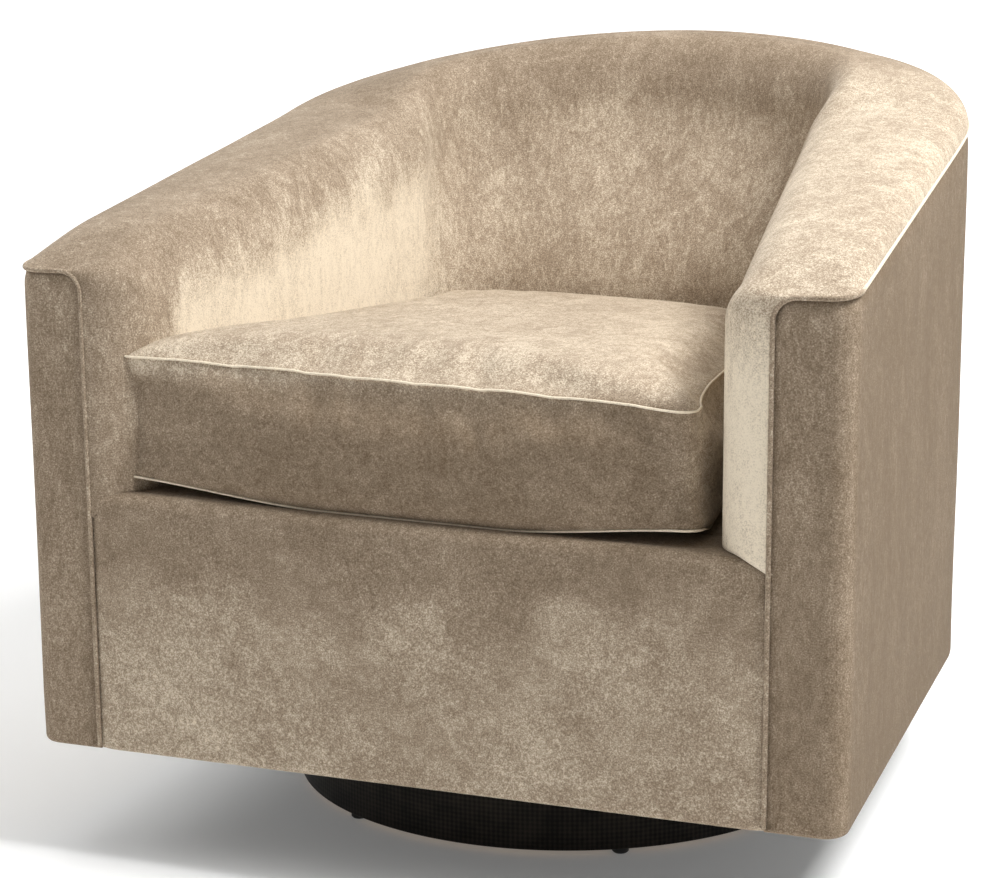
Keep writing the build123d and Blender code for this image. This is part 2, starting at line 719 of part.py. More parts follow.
def front_panel():
    """Padded front: a face between the arm fronts that rolls over on to the deck, with a hem underneath."""
    inner = front_y + frame_inset - SOFT_GAP
    lip_end = front_y + FRONT_LIP_DEPTH
    roll = FRONT_LIP_ROLL
    soft = roll * (1 - sqrt(0.5))
    corners = [
        (front_y + roll, deck_top),
        (lip_end, deck_top),
        (lip_end, deck_bottom),
        (inner, deck_bottom),
        (inner, frame_bottom - SOFT_GAP),
        (inner + HEM_WIDTH, frame_bottom - SOFT_GAP),
        (inner + HEM_WIDTH, hem_bottom),
        (front_y, hem_bottom),
        (front_y, deck_top - roll),
    ]
    edges = [Line(start, end) for start, end in zip(corners, corners[1:])]
    edges.append(ThreePointArc(corners[-1], (front_y + soft, deck_top - soft), corners[0]))
    reach = seam_x - welt_reach - SOFT_GAP
    return extrude(Plane.YZ * make_face(edges), amount=reach, both=True)


def ridge_rise(y, angle):
    """Rise of the pad's ridge above the seam, which grows along the arms and falls again round the back."""
    share = min((y - front_y) / (outside.side_end - front_y), 1.0)
    return RIDGE_RISE + ARM_FULLNESS * share * cos(radians(angle)) ** 2


def pad_section(point, angle):
    """Section of the arm or back pad, square to the outside plan.

    From the seam edge it goes up over a small outer roll and a flat crown to a large inner roll, a quarter
    ellipse, and then down the inside face, which leans on the back and stands upright on the arms.
    """
    x, y = point
    inward = (-cos(radians(angle)), -sin(radians(angle)))
    near = 0.0
    far = half_width
    while far - near > SOFT_GAP / 1000:
        middle = (near + far) / 2
        if inside.outside_by(x + inward[0] * middle, y + inward[1] * middle) > 0:
            near = middle
        else:
            far = middle
    depth = far
    lean = (BACK_THICKNESS - BACK_TOP_THICKNESS) * sin(radians(angle)) ** 2
    top_depth = depth - lean
    seam = seam_height(y) + welt_reach + SOFT_GAP
    ridge = seam_height(y) + ridge_rise(y, angle)
    start = SOFT_GAP
    quarter = sqrt(0.5)
    outer_bend = (start + OUTER_ROLL * (1 - quarter), seam + (ridge - seam) * quarter)
    roll_centre = (top_depth - INNER_ROLL, ridge - INNER_DROP)
    lumbar = deck_top + LUMBAR_RISE
    edges = [
        Line((start, deck_bottom), (start, seam)),
        ThreePointArc((start, seam), outer_bend, (start + OUTER_ROLL, ridge)),
        Line((start + OUTER_ROLL, ridge), (top_depth - INNER_ROLL, ridge)),
        EllipticalCenterArc(roll_centre, INNER_ROLL, INNER_DROP, start_angle=90, arc_size=-90),
        Line((top_depth, ridge - INNER_DROP), (depth, lumbar)),
        Line((depth, lumbar), (depth, deck_bottom)),
        Line((depth, deck_bottom), (start, deck_bottom)),
    ]
    tangent = (-sin(radians(angle)), cos(radians(angle)), 0)
    station = Plane(origin=(x, y, 0), x_dir=(*inward, 0), z_dir=tangent)
    return station * make_face(edges)


def bend_stations():
    """Places round the corners and the back of the plan, right to left, with their outward angles."""
    joint = 90 - outside.back_turn
    stations = [((half_width, min(inside.side_end, outside.side_end) - BEND_LEAD), 0.0)]
    for step in range(CORNER_STEPS):
        angle = joint * step / CORNER_STEPS
        stations.append((outside.corner_point(angle), angle))
    for step in range(BACK_STEPS):
        angle = joint + outside.back_turn * step / BACK_STEPS
        stations.append((outside.back_point(angle), angle))
    stations.append((outside.back_point(90), 90.0))
    for (x, y), angle in reversed(stations[:-1]):
        stations.append(((-x, y), 180 - angle))
    return stations


def front_flare():
    """Block that rounds the right arm pad in plan, from the seam of the arm front to the inside face."""
    turn = radians(INSIDE_TAPER)
    centre_x = inside.half_width + FRONT_ROLL * (1 - sin(turn)) / cos(turn)

    def on_roll(angle):
        return (centre_x - FRONT_ROLL * cos(angle), front_y + FRONT_ROLL * (1 - sin(angle)))

    corner = (inside.half_width, front_y)
    start = on_roll(radians(90))
    end = on_roll(turn)
    roll = ThreePointArc(start, on_roll((radians(90) + turn) / 2), end)
    return extrude(make_face([Line(end, corner), Line(corner, start), roll]), amount=TALL)


def front_brow():
    """Block that rounds the pads down to the seam across the arm fronts."""
    y = front_y + FRONT_TOP_ROLL
    z = seam_height(y) + ridge_rise(y, 0) - FRONT_TOP_ROLL
    corner = Pos(-FRONT_TOP_ROLL / 2, FRONT_TOP_ROLL) * Rectangle(FRONT_TOP_ROLL, 2 * FRONT_TOP_ROLL)
    corner -= Circle(FRONT_TOP_ROLL)
    return extrude(Plane.YZ * Pos(y, z) * corner, amount=half_width, both=True)


def inside_pad():
    """Inside arms and back in one piece, rolled over the top rail down to the seam."""
    sections = [pad_section(point, angle) for point, angle in bend_stations()]
    arm = loft([pad_section((half_width, front_y), 0.0), sections[0]], ruled=True)
    pad = loft(sections) + arm + mirrored(arm)
    pad -= wall(-WELT_DIAMETER, pad_inset, 0, welt_reach + SOFT_GAP)
    pad -= front_brow()
    arm_front = arm_face_block(welt_reach + SOFT_GAP, front_y - SOFT_GAP, frame_front)
    for piece in (front_flare(), arm_front):
        pad -= piece
        pad -= mirrored(piece)
    return pad - front_gap(half_width, FRONT_LIP_DEPTH + SOFT_GAP, top=deck_top + SOFT_GAP)


def outside_cover():
    """Outside band that wraps the arm fronts, the sides and the back, hemmed under the frame."""
    cover = wall(0, COVER_THICKNESS, hem_bottom, -welt_reach - SOFT_GAP)
    faces = arm_face_block(-welt_reach - SOFT_GAP, front_y, front_y + COVER_THICKNESS)
    cover -= front_gap(half_width - FRONT_CORNER_RADIUS, COVER_THICKNESS)
    cover += faces & block(0, half_width - FRONT_CORNER_RADIUS, front_y, 0, 0, TALL)
    cover += mirrored(faces & block(0, half_width - FRONT_CORNER_RADIUS, front_y, 0, 0, TALL))
    hem = ring(0, HEM_WIDTH, hem_bottom, HEM_THICKNESS)
    return cover + (hem - front_gap(seam_x + welt_reach + SOFT_GAP, HEM_WIDTH))


def welt_cord():
    """Cloth-covered cord in the seam: up each arm front, across its top and round the back in one run."""
    cord = wall(-WELT_PROUD, WELT_DIAMETER - WELT_PROUD, board_top, welt_reach) & above_seam(-welt_reach)
    cord -= front_gap(half_width - FRONT_CORNER_RADIUS, WELT_DIAMETER)
    near = front_y - WELT_PROUD
    far = near + WELT_DIAMETER
    run = arm_face_block(welt_reach, near, far) - arm_face_block(-welt_reach, near, far)
    run &= block(0, half_width - FRONT_CORNER_RADIUS, near, far, 0, TALL)
    return cord + run + mirrored(run)


def dust_cover():
    """Thin cloth stapled under the frame, open round the swivel."""
    sheet = outside.inset(DUST_COVER_INSET).face()
    sheet -= RectangleRounded(DUST_COVER_OPENING, DUST_COVER_OPENING, PLATE_CORNER)
    return Pos(0, 0, hem_bottom - DUST_COVER_THICKNESS) * extrude(sheet, amount=DUST_COVER_THICKNESS)


def cushion_plan():
    """Plan of the cushion at its fullest line, before it is shifted to the left."""
    plan = inside.inset(CUSHION_BACK_ROOM)
    plan.front = front_y + CUSHION_SETBACK
    plan.half_width = inside.side_x(plan.front) - CUSHION_SIDE_ROOM / 2
    return plan


def cushion_form(skin):
    """Boxed cushion, shrunk all round by a skin: rolled bottom edge, swelling sides and a crowned top."""
    bottom = deck_top + SOFT_GAP
    seam = bottom + CUSHION_BOXING - skin
    slight_bow = CUSHION_FRONT_BOW / 4

    def slab(inset, height, bow):
        face = cushion_plan().inset(inset + skin).face(CUSHION_CORNER, bow)
        return Pos(CUSHION_SHIFT, 0, height) * face

    sides = [
        slab(CUSHION_BOTTOM_ROLL, bottom + skin, slight_bow),
        slab(CUSHION_DRAW, bottom + CUSHION_BOTTOM_ROLL / 2, CUSHION_FRONT_BOW / 2),
        slab(0, bottom + SWELL_LEVEL, CUSHION_FRONT_BOW),
        slab(CUSHION_DRAW, seam, slight_bow),
    ]
    crown = [
        slab(CUSHION_DRAW, seam, slight_bow),
        slab(CUSHION_DRAW + CROWN_RUN / 3, seam + CUSHION_CROWN / 2, slight_bow),
        slab(CUSHION_DRAW + CROWN_RUN, seam + CUSHION_CROWN, slight_bow),
    ]
    return loft(sides) + loft(crown)


def zip_arc(standoff, thickness, height, start, length):
    """Curved strip behind the cushion, from an arc length right of its middle towards the left."""
    plan = cushion_plan()
    radius = plan.back_radius + standoff
    strip = Circle(radius + thickness) - Circle(radius)
    strip = extrude(strip, amount=height / 2, both=True)
    first = 90 - degrees(start / radius)
    last = first + degrees(length / radius)
    far = 2 * radius
    wedge = Polygon(
        (0, 0),
        (far * cos(radians(first)), far * sin(radians(first))),
        (far * cos(radians(last)), far * sin(radians(last))),
        align=None,
    )
    strip &= extrude(wedge, amount=height, both=True)
    return Pos(CUSHION_SHIFT, plan.back_centre, deck_top + SOFT_GAP + SWELL_LEVEL) * strip


def cushion_zip():
    """Closed zip along the back of the cushion's boxing."""
    return zip_arc(ZIP_STANDOFF, ZIP_THICKNESS, ZIP_TAPE, ZIP_LENGTH / 2, ZIP_LENGTH)


def zip_slider():
    """Slider of the zip, without a tab, at its closed right end."""
    standoff = ZIP_STANDOFF + ZIP_THICKNESS + CLIP_GAP
    return zip_arc(standoff, SLIDER_THICKNESS, SLIDER_HEIGHT, ZIP_LENGTH / 2 - SLIDER_LENGTH, SLIDER_LENGTH)


def build_parts():
    """Every piece of the chair under its node name."""
    pieces = {
        "base_glides": base_glides(),
        "base_drum": base_drum(),
        "base_top_board": base_top_board(),
        "base_brace_long": base_brace(False),
        "base_brace_cross": base_brace(True),
        "base_cover": base_cover(),
        "swivel_lower_plate": swivel_lower_plate(),
        "swivel_base_screws": swivel_base_screws(),
        "swivel_pivot": swivel_pivot(),
        "pivot_nut": pivot_nut(),
        "swivel_ball_cage": swivel_ball_cage(),
        "swivel_balls": swivel_balls(),
        "swivel_upper_plate": swivel_upper_plate(),
        "swivel_frame_bolts": swivel_frame_bolts(),
        "swivel_tee_nuts": swivel_tee_nuts(),
        "bottom_board": bottom_board(),
        "front_board": front_board(),
        "seat_back_board": seat_back_board(),
        "corner_blocks": corner_blocks(),
        "back_post": back_post(),
        "top_rail": top_rail(),
        "outer_liner": outer_liner(),
        "wall_webbing": wall_webbing(),
        "seat_springs": seat_springs(),
        "spring_clips": spring_clips(),
        "seat_deck": seat_deck(),
        "front_panel": front_panel(),
        "inside_pad": inside_pad(),
        "outside_cover": outside_cover(),
        "welt_cord": welt_cord(),
        "dust_cover": dust_cover(),
        "cushion_core": cushion_form(CUSHION_CLOTH + SOFT_GAP),
        "cushion_cover": cushion_form(0) - cushion_form(CUSHION_CLOTH),
        "cushion_zip": cushion_zip(),
        "zip_slider": zip_slider(),
    }
    paired = {
        "seat_side_board": seat_side_board(),
        "arm_post": arm_post(),
        "side_post": side_post(),
        "corner_post": corner_post(),
        "arm_front_board": arm_front_board(),
    }
    for name, piece in paired.items():
        pieces[name + "_right"] = piece
        pieces[name + "_left"] = mirrored(piece)
    return pieces


if __name__ == "__main__":
    os.makedirs("parts", exist_ok=True)
    for node, shape in build_parts().items():
        export_step(shape, f"parts/{node}.step")
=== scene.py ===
"""Swivel tub chair: velvet upholstery, a loose seat cushion and a round plinth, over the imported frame."""

from __future__ import annotations

import json
import logging
import math
from dataclasses import dataclass, replace
from enum import Enum

import bpy
import numpy as np
from mathutils import Matrix, Vector

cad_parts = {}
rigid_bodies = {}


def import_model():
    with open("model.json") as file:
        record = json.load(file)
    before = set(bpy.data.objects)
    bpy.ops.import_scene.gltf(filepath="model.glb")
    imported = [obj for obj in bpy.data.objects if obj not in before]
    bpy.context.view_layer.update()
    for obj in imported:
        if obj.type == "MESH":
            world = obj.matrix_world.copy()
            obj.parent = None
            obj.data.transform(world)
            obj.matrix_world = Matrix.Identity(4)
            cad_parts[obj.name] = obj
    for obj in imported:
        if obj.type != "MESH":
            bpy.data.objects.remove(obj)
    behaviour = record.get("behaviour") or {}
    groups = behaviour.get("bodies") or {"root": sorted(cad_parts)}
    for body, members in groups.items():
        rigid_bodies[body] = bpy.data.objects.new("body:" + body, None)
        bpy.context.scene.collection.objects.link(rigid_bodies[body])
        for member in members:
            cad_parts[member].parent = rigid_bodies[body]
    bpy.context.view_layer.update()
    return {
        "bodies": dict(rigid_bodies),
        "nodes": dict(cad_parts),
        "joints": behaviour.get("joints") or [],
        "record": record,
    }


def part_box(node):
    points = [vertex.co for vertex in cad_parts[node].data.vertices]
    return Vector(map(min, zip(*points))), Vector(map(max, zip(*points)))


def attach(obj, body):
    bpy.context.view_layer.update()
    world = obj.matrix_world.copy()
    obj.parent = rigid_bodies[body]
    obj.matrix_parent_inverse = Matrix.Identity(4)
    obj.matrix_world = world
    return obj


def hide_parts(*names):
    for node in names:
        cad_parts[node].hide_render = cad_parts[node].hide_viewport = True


LOG = logging.getLogger("chair")
HALVINGS = 40  # steps of a search by halving
CUSHION_MIDDLE = (0.0, -0.07)  # place in plan that the cushion's sides are drawn towards
PAD_MIDDLE = (0.0, 0.05, 0.42)  # place that the pad swells away from
FILL_FRAMES = 20
CLOTH = {
    "quality": 6,
    "mass": 0.35,
    "tension_stiffness": 22.0,
    "compression_stiffness": 22.0,
    "shear_stiffness": 9.0,
    "bending_stiffness": 1.2,
    "use_pressure": True,
}  # settings of the cushion's filling
Array = np.ndarray
Triple = tuple[float, float, float]
Piece = bpy.types.Object
Material = bpy.types.Material
Socket = bpy.types.NodeSocket


class Lay(Enum):
    """Which way the nap of a velvet panel is brushed, as stretch factors of its mottling."""

    UPRIGHT = (1.0, 1.0, 0.45)
    FLAT = (1.0, 1.0, 1.0)
    DEEP = (1.0, 0.5, 1.0)


class Body(Enum):
    """Bodies of the chair that pieces ride on."""

    BASE = "base"
    SEAT = "seat"
    CUSHION = "cushion"


def smooth(value: Array) -> Array:
    """Smooth step from 0 to 1: 3t^2 - 2t^3 of the value held between 0 and 1."""
    held = np.clip(value, 0.0, 1.0)
    return held * held * (3.0 - 2.0 * held)


def soft_waves(points: Array, length: float, seed: int) -> Array:
    """Gentle unevenness: the mean of nine sine waves in seeded directions, each about one length long.

    Args:
        points: places, with three coordinates last.
        length: usual distance between two crests, in metres.
        seed: seed of the directions and phases.

    Returns:
        Values between -1 and 1, one for each place.
    """
    rng = np.random.default_rng(seed)
    ways = rng.normal(size=(9, 3))
    ways /= np.linalg.norm(ways, axis=1, keepdims=True)
    ways *= 2.0 * np.pi / length * rng.uniform(0.6, 1.4, size=(9, 1))
    phases = rng.uniform(0.0, 2.0 * np.pi, size=9)
    return np.sin(points @ ways.T + phases).mean(axis=-1)


def mesh_object(name: str, points: Array, quads: Array, caps: list[list[int]] | None = None) -> Piece:
    """A smooth-shaded mesh object in the scene.

    Args:
        name: name of the piece.
        points: vertices, one row each.
        quads: vertex numbers of the four-sided faces, one row each.
        caps: closing faces with any number of corners.

    Returns:
        The new object, at the origin.
    """
    mesh = bpy.data.meshes.new(name)
    mesh.from_pydata(points.tolist(), [], quads.tolist() + (caps or []))
    mesh.validate()
    mesh.polygons.foreach_set("use_smooth", np.ones(len(mesh.polygons), dtype=bool))
    mesh.update()
    piece = bpy.data.objects.new(name, mesh)
    bpy.context.scene.collection.objects.link(piece)
    return piece


def grid_quads(here: Array, there: Array) -> Array:
    """Four-sided faces between two rows of vertex numbers whose points go round.

    Args:
        here: vertex numbers, row by row.
        there: the numbers of the next row for each.

    Returns:
        Vertex numbers, one face a row.
    """
    faces = (here, np.roll(here, -1, axis=1), np.roll(there, -1, axis=1), there)
    return np.stack(faces, axis=-1).reshape(-1, 4)


def sheet_quads(number: Array) -> Array:
    """Four-sided faces of an open grid of vertex numbers, one face a row."""
    faces = (number[:-1, :-1], number[:-1, 1:], number[1:, 1:], number[1:, :-1])
    return np.stack(faces, axis=-1).reshape(-1, 4)


def face_outwards(piece: Piece) -> None:
    """Turns a closed piece's faces outwards where its enclosed volume comes out negative.

    Args:
        piece: the closed piece.
    """
    mesh = piece.data
    mesh.calc_loop_triangles()
    corners = np.empty(len(mesh.loop_triangles) * 3, dtype=np.int32)
    mesh.loop_triangles.foreach_get("vertices", corners)
    places = np.empty(len(mesh.vertices) * 3)
    mesh.vertices.foreach_get("co", places)
    a, b, c = np.moveaxis(places.reshape(-1, 3)[corners.reshape(-1, 3)], 1, 0)
    if np.einsum("ij,ij->i", a, np.cross(b, c)).sum() < 0.0:
        mesh.flip_normals()


def tube(name: str, rings: Array, closed: bool = False) -> Piece:
    """A skin over a row of closed rings: point (i, j) joins (i + 1, j) and (i, j + 1), with j going round.

    Args:
        name: name of the piece.
        rings: grid of points, ring by ring.
        closed: whether the last ring joins the first; otherwise both ends are capped.

    Returns:
        The new object.
    """
    count, round_count = rings.shape[:2]
    number = np.arange(count * round_count).reshape(count, round_count)
    here = number if closed else number[:-1]
    there = np.roll(number, -1, axis=0) if closed else number[1:]
    quads = grid_quads(here, there)
    caps = None if closed else [number[0, ::-1].tolist(), number[-1].tolist()]
    piece = mesh_object(name, rings.reshape(-1, 3), quads, caps)
    face_outwards(piece)
    return piece


def standing_rings(place: Array, normal: Array, inset: Array, height: Array) -> Array:
    """Upright sections square to a plan: each point lies its inset in from its place, at its height.

    Args:
        place: points of the plan, one for each section.
        normal: outward normals there.
        inset: distance inwards of each section's points.
        height: their heights.

    Returns:
        The sections, ring by ring.
    """
    rings = np.empty((*inset.shape, 3))
    rings[..., :2] = place[:, None] - normal[:, None] * inset[..., None]
    rings[..., 2] = height
    return rings


def sweep(name: str, path: Array, radius: float, sides: int, closed: bool = False) -> Piece:
    """A round cord along a path: each ring is a circle square to the path's direction there.

    Args:
        name: name of the piece.
        path: points along the cord, one row each.
        radius: radius of the cord.
        sides: points of each ring.
        closed: whether the cord is a loop.

    Returns:
        The new object.
    """
    ahead = np.roll(path, -1, axis=0) - np.roll(path, 1, axis=0)
    if not closed:
        ahead[0] = path[1] - path[0]
        ahead[-1] = path[-1] - path[-2]
    ahead /= np.linalg.norm(ahead, axis=1, keepdims=True)
    spread = path - path.mean(axis=0)
    across = np.cross(ahead, spread)
    across /= np.linalg.norm(across, axis=1, keepdims=True)
    upward = np.cross(across, ahead)
    turn = np.linspace(0.0, 2.0 * np.pi, sides, endpoint=False)[None, :, None]
    rings = path[:, None] + radius * (np.cos(turn) * across[:, None] + np.sin(turn) * upward[:, None])
    return tube(name, rings, closed)


def resample(path: Array, count: int, closed: bool = False) -> Array:
    """Points evenly spaced along a path, by its running length.

    Args:
        path: the path's points.
        count: number of points wanted.
        closed: whether the path runs back to its start, which is then not repeated.

    Returns:
        The evenly spaced points.
    """
    line = np.vstack((path, path[:1])) if closed else path
    run = np.concatenate(([0.0], np.cumsum(np.linalg.norm(np.diff(line, axis=0), axis=1))))
    wanted = np.linspace(0.0, run[-1], count, endpoint=not closed)
    return np.stack([np.interp(wanted, run, line[:, axis]) for axis in range(line.shape[1])], axis=-1)


def mark(piece: Piece, name: str, values: Array) -> None:
    """Stores one number for each vertex as a named attribute."""
    layer = piece.data.attributes.new(name, "FLOAT", "POINT")
    layer.data.foreach_set("value", values.astype(np.float32).ravel())


def vertices_of(piece: Piece) -> Array:
    """The piece's vertices as an array, one row each.

    Args:
        piece: the piece.

    Returns:
        Its vertices' places.
    """
    places = np.empty(len(piece.data.vertices) * 3)
    piece.data.vertices.foreach_get("co", places)
    return places.reshape(-1, 3)


class Shader:
    """A material's node tree, with short calls that add and join nodes."""

    def __init__(self, name: str) -> None:
        """Starts an empty material with one principled surface.

        Args:
            name: name of the material.
        """
        self.material = bpy.data.materials.new(name)
        self.material.use_nodes = True
        self.tree = self.material.node_tree
        self.surface = self.tree.nodes["Principled BSDF"]

    def add(self, kind: str, **settings: object) -> bpy.types.Node:
        """Adds a node and sets its plain properties.

        Args:
            kind: type of the node.
            settings: its plain properties by name.

        Returns:
            The new node.
        """
        node = self.tree.nodes.new(kind)
        for key, value in settings.items():
            setattr(node, key, value)
        return node

    def join(self, output: Socket, target: Socket) -> None:
        """Links an output to an input."""
        self.tree.links.new(output, target)

    def coordinates(self, stretch: Triple = (1.0, 1.0, 1.0)) -> Socket:
        """Object coordinates, scaled along each axis.

        Args:
            stretch: scale along each axis.

        Returns:
            The scaled coordinates.
        """
        place = self.add("ShaderNodeTexCoord")
        scale = self.add("ShaderNodeMapping")
        scale.inputs["Scale"].default_value = stretch
        self.join(place.outputs["Object"], scale.inputs["Vector"])
        return scale.outputs["Vector"]

    def noise(self, vector: Socket, scale: float, detail: float, rough: float = 0.5,
              bend: float = 0.0) -> Socket:
        """Noise of about 1 / scale metres.

        Args:
            vector: coordinates of the pattern.
            scale: how many times it varies in a metre.
            detail: number of finer layers.
            rough: strength of the finer layers.
            bend: distortion.

        Returns:
            The noise, about 0 to 1.
        """
        node = self.add("ShaderNodeTexNoise")
        node.inputs["Scale"].default_value = scale
        node.inputs["Detail"].default_value = detail
        node.inputs["Roughness"].default_value = rough
        node.inputs["Distortion"].default_value = bend
        self.join(vector, node.inputs["Vector"])
        return node.outputs["Fac"]

    def bands(self, vector: Socket, axis: str, scale: float, bend: float) -> Socket:
        """Wavy bands across one axis.

        Args:
            vector: coordinates of the pattern.
            axis: axis that the bands follow each other along.
            scale: how close they lie.
            bend: how wavy they are.

        Returns:
            The bands, 0 to 1.
        """
        node = self.add("ShaderNodeTexWave", wave_type="BANDS", bands_direction=axis)
        node.inputs["Scale"].default_value = scale
        node.inputs["Distortion"].default_value = bend
        node.inputs["Detail"].default_value = 2.0
        self.join(vector, node.inputs["Vector"])
        return node.outputs["Fac"]

    def sum(self, first: Socket, second: Socket, share: float) -> Socket:
        """First plus share times second.

        Args:
            first: value taken whole.
            second: value taken in part.
            share: part of the second.

        Returns:
            The sum.
        """
        node = self.add("ShaderNodeMath", operation="MULTIPLY_ADD")
        node.inputs[1].default_value = share
        self.join(second, node.inputs[0])
        self.join(first, node.inputs[2])
        return node.outputs[0]

    def span(self, value: Socket, low: float, high: float, to_low: float = 0.0,
             to_high: float = 1.0) -> Socket:
        """Maps a range smoothly on to another, held at its ends.

        Args:
            value: value to map.
            low: start of its range.
            high: end of its range.
            to_low: result at the start.
            to_high: result at the end.

        Returns:
            The mapped value.
        """
        node = self.add("ShaderNodeMapRange", interpolation_type="SMOOTHSTEP")
        for key, number in (("From Min", low), ("From Max", high), ("To Min", to_low), ("To Max", to_high)):
            node.inputs[key].default_value = number
        self.join(value, node.inputs["Value"])
        return node.outputs["Result"]

    def ramp(self, value: Socket, stops: list[tuple[float, Triple]]) -> Socket:
        """Colours along a value.

        Args:
            value: value from 0 to 1.
            stops: places along it and their colours.

        Returns:
            The colour.
        """
        node = self.add("ShaderNodeValToRGB")
        band = node.color_ramp
        while len(band.elements) < len(stops):
            band.elements.new(0.5)
        for element, (place, colour) in zip(band.elements, stops):
            element.position = place
            element.color = (*colour, 1.0)
        self.join(value, node.inputs["Fac"])
        return node.outputs["Color"]

    def bump(self, height: Socket, depth: float, strength: float,
             under: Socket | None = None) -> Socket:
        """Bumps the surface by a height, over another bump where one is given.

        Args:
            height: height of the bumps.
            depth: depth of a height of 1, in metres.
            strength: share of the bumps that shows.
            under: normal that they lie on.

        Returns:
            The bumped normal.
        """
        node = self.add("ShaderNodeBump")
        node.inputs["Distance"].default_value = depth
        node.inputs["Strength"].default_value = strength
        self.join(height, node.inputs["Height"])
        if under is not None:
            self.join(under, node.inputs["Normal"])
        return node.outputs["Normal"]

    def finish(self, colour: Socket, rough: Socket | float,
               normal: Socket | None = None, **constants: object) -> Material:
        """Joins the surface's inputs; constants are set on its sockets by name.

        Args:
            colour: base colour.
            rough: roughness, as a number or a socket.
            normal: bumped normal.
            constants: values of other sockets.

        Returns:
            The material.
        """
        self.join(colour, self.surface.inputs["Base Color"])
        if isinstance(rough, float):
            self.surface.inputs["Roughness"].default_value = rough
        else:
            self.join(rough, self.surface.inputs["Roughness"])
        if normal is not None:
            self.join(normal, self.surface.inputs["Normal"])
        for key, value in constants.items():
            self.surface.inputs[key.replace("_", " ").title().replace("Ior", "IOR")].default_value = value
        return self.material


@dataclass(frozen=True)
class Velvet:
    """Crushed velvet: mottling and short flecks of nap from dark to light, a fine pile and a soft sheen, with
    each piece's painted light and shade added.
    """

    name: str
    lay: Lay = Lay.FLAT
    dark: Triple = (0.140, 0.098, 0.060)
    middle: Triple = (0.345, 0.270, 0.196)
    light: Triple = (0.80, 0.70, 0.55)
    patch: float = 13.0
    mottle: float = 48.0
    fleck: float = 260.0
    pile: float = 760.0
    sheen: float = 0.22

    def material(self) -> Material:
        """Builds the material: four sizes of noise set how the nap lies, and the piece's vertex attribute adds
        its painted light and shade.

        Returns:
            The material.
        """
        shader = Shader(self.name)
        spread = shader.coordinates(self.lay.value)
        even = shader.coordinates()
        patches = shader.noise(spread, self.patch, 4.0, 0.55, 0.4)
        flecks = shader.noise(spread, self.fleck, 4.0, 0.62, 0.2)
        pile = shader.noise(even, self.pile, 2.0, 0.6)
        # the piece's vertex attribute holds painted light and shade, added to the nap noise in the sums below
        painted_light_and_shade = shader.add("ShaderNodeAttribute", attribute_name="nap_and_painted_light").outputs["Fac"]
        mottling = shader.span(shader.noise(spread, self.mottle, 5.0, 0.62, 1.1), 0.34, 0.66)
        nap_and_painted_light = shader.sum(shader.sum(pile, flecks, 0.42), patches, 0.26)
        nap_and_painted_light = shader.sum(shader.sum(nap_and_painted_light, mottling, 0.11), painted_light_and_shade, 1.0)
        stops = [(0.0, self.dark), (0.5, self.middle), (1.0, self.light)]
        colour = shader.ramp(shader.span(nap_and_painted_light, 0.355, 1.435), stops)
        rough = shader.span(flecks, 0.3, 0.7, 0.92, 0.76)
        normal = shader.bump(pile, 0.0006, 0.5)
        normal = shader.bump(flecks, 0.0010, 0.25, normal)
        return shader.finish(colour, rough, normal, sheen_weight=self.sheen, sheen_roughness=0.38,
                             sheen_tint=(1.0, 0.90, 0.76, 1.0), specular_ior_level=0.12)


@dataclass(frozen=True)
class Woven:
    """Plain cloth with crossing threads."""

    name: str
    shade: Triple
    glint: Triple
    threads: float = 420.0

    def material(self) -> Material:
        """Builds the material: two crossed sets of bands for the threads, and noise for wear.

        Returns:
            The material.
        """
        shader = Shader(self.name)
        place = shader.coordinates()
        upright = shader.add("ShaderNodeTexGradient", gradient_type="RADIAL")
        shader.join(place, upright.inputs["Vector"])
        warp = shader.add("ShaderNodeMath", operation="SINE")
        turns = shader.add("ShaderNodeMath", operation="MULTIPLY")
        turns.inputs[1].default_value = self.threads * 2.0 * math.pi * 0.9
        shader.join(upright.outputs["Fac"], turns.inputs[0])
        shader.join(turns.outputs[0], warp.inputs[0])
        weft = shader.bands(place, "Z", self.threads / 6.0, 0.4)
        dust = shader.noise(place, 34.0, 6.0, 0.65)
        weave = shader.sum(shader.sum(dust, warp.outputs[0], 0.12), weft, 0.16)
        colour = shader.ramp(shader.span(weave, 0.3, 0.95), [(0.0, self.shade), (1.0, self.glint)])
        normal = shader.bump(weave, 0.0006, 0.5)
        return shader.finish(colour, 0.9, normal, sheen_weight=0.15, sheen_roughness=0.5,
                             specular_ior_level=0.2)


@dataclass(frozen=True)
class Timber:
    """Sawn wood: long grain with darker growth rings, or the edge layers of plywood."""

    name: str
    pale: Triple
    dark: Triple
    along: Triple = (14.0, 14.0, 1.6)
    layers: bool = False

    def material(self) -> Material:
        """Builds the material: stretched noise for the grain, and level bands for plywood.

        Returns:
            The material.
        """
        shader = Shader(self.name)
        grain = shader.noise(shader.coordinates(self.along), 4.0, 8.0, 0.62, 1.4)
        if self.layers:
            grain = shader.sum(grain, shader.bands(shader.coordinates(), "Z", 105.0, 0.5), 0.22)
        colour = shader.ramp(shader.span(grain, 0.32, 0.9), [(0.0, self.dark), (1.0, self.pale)])
        return shader.finish(colour, 0.68, shader.bump(grain, 0.0006, 0.35), specular_ior_level=0.3)


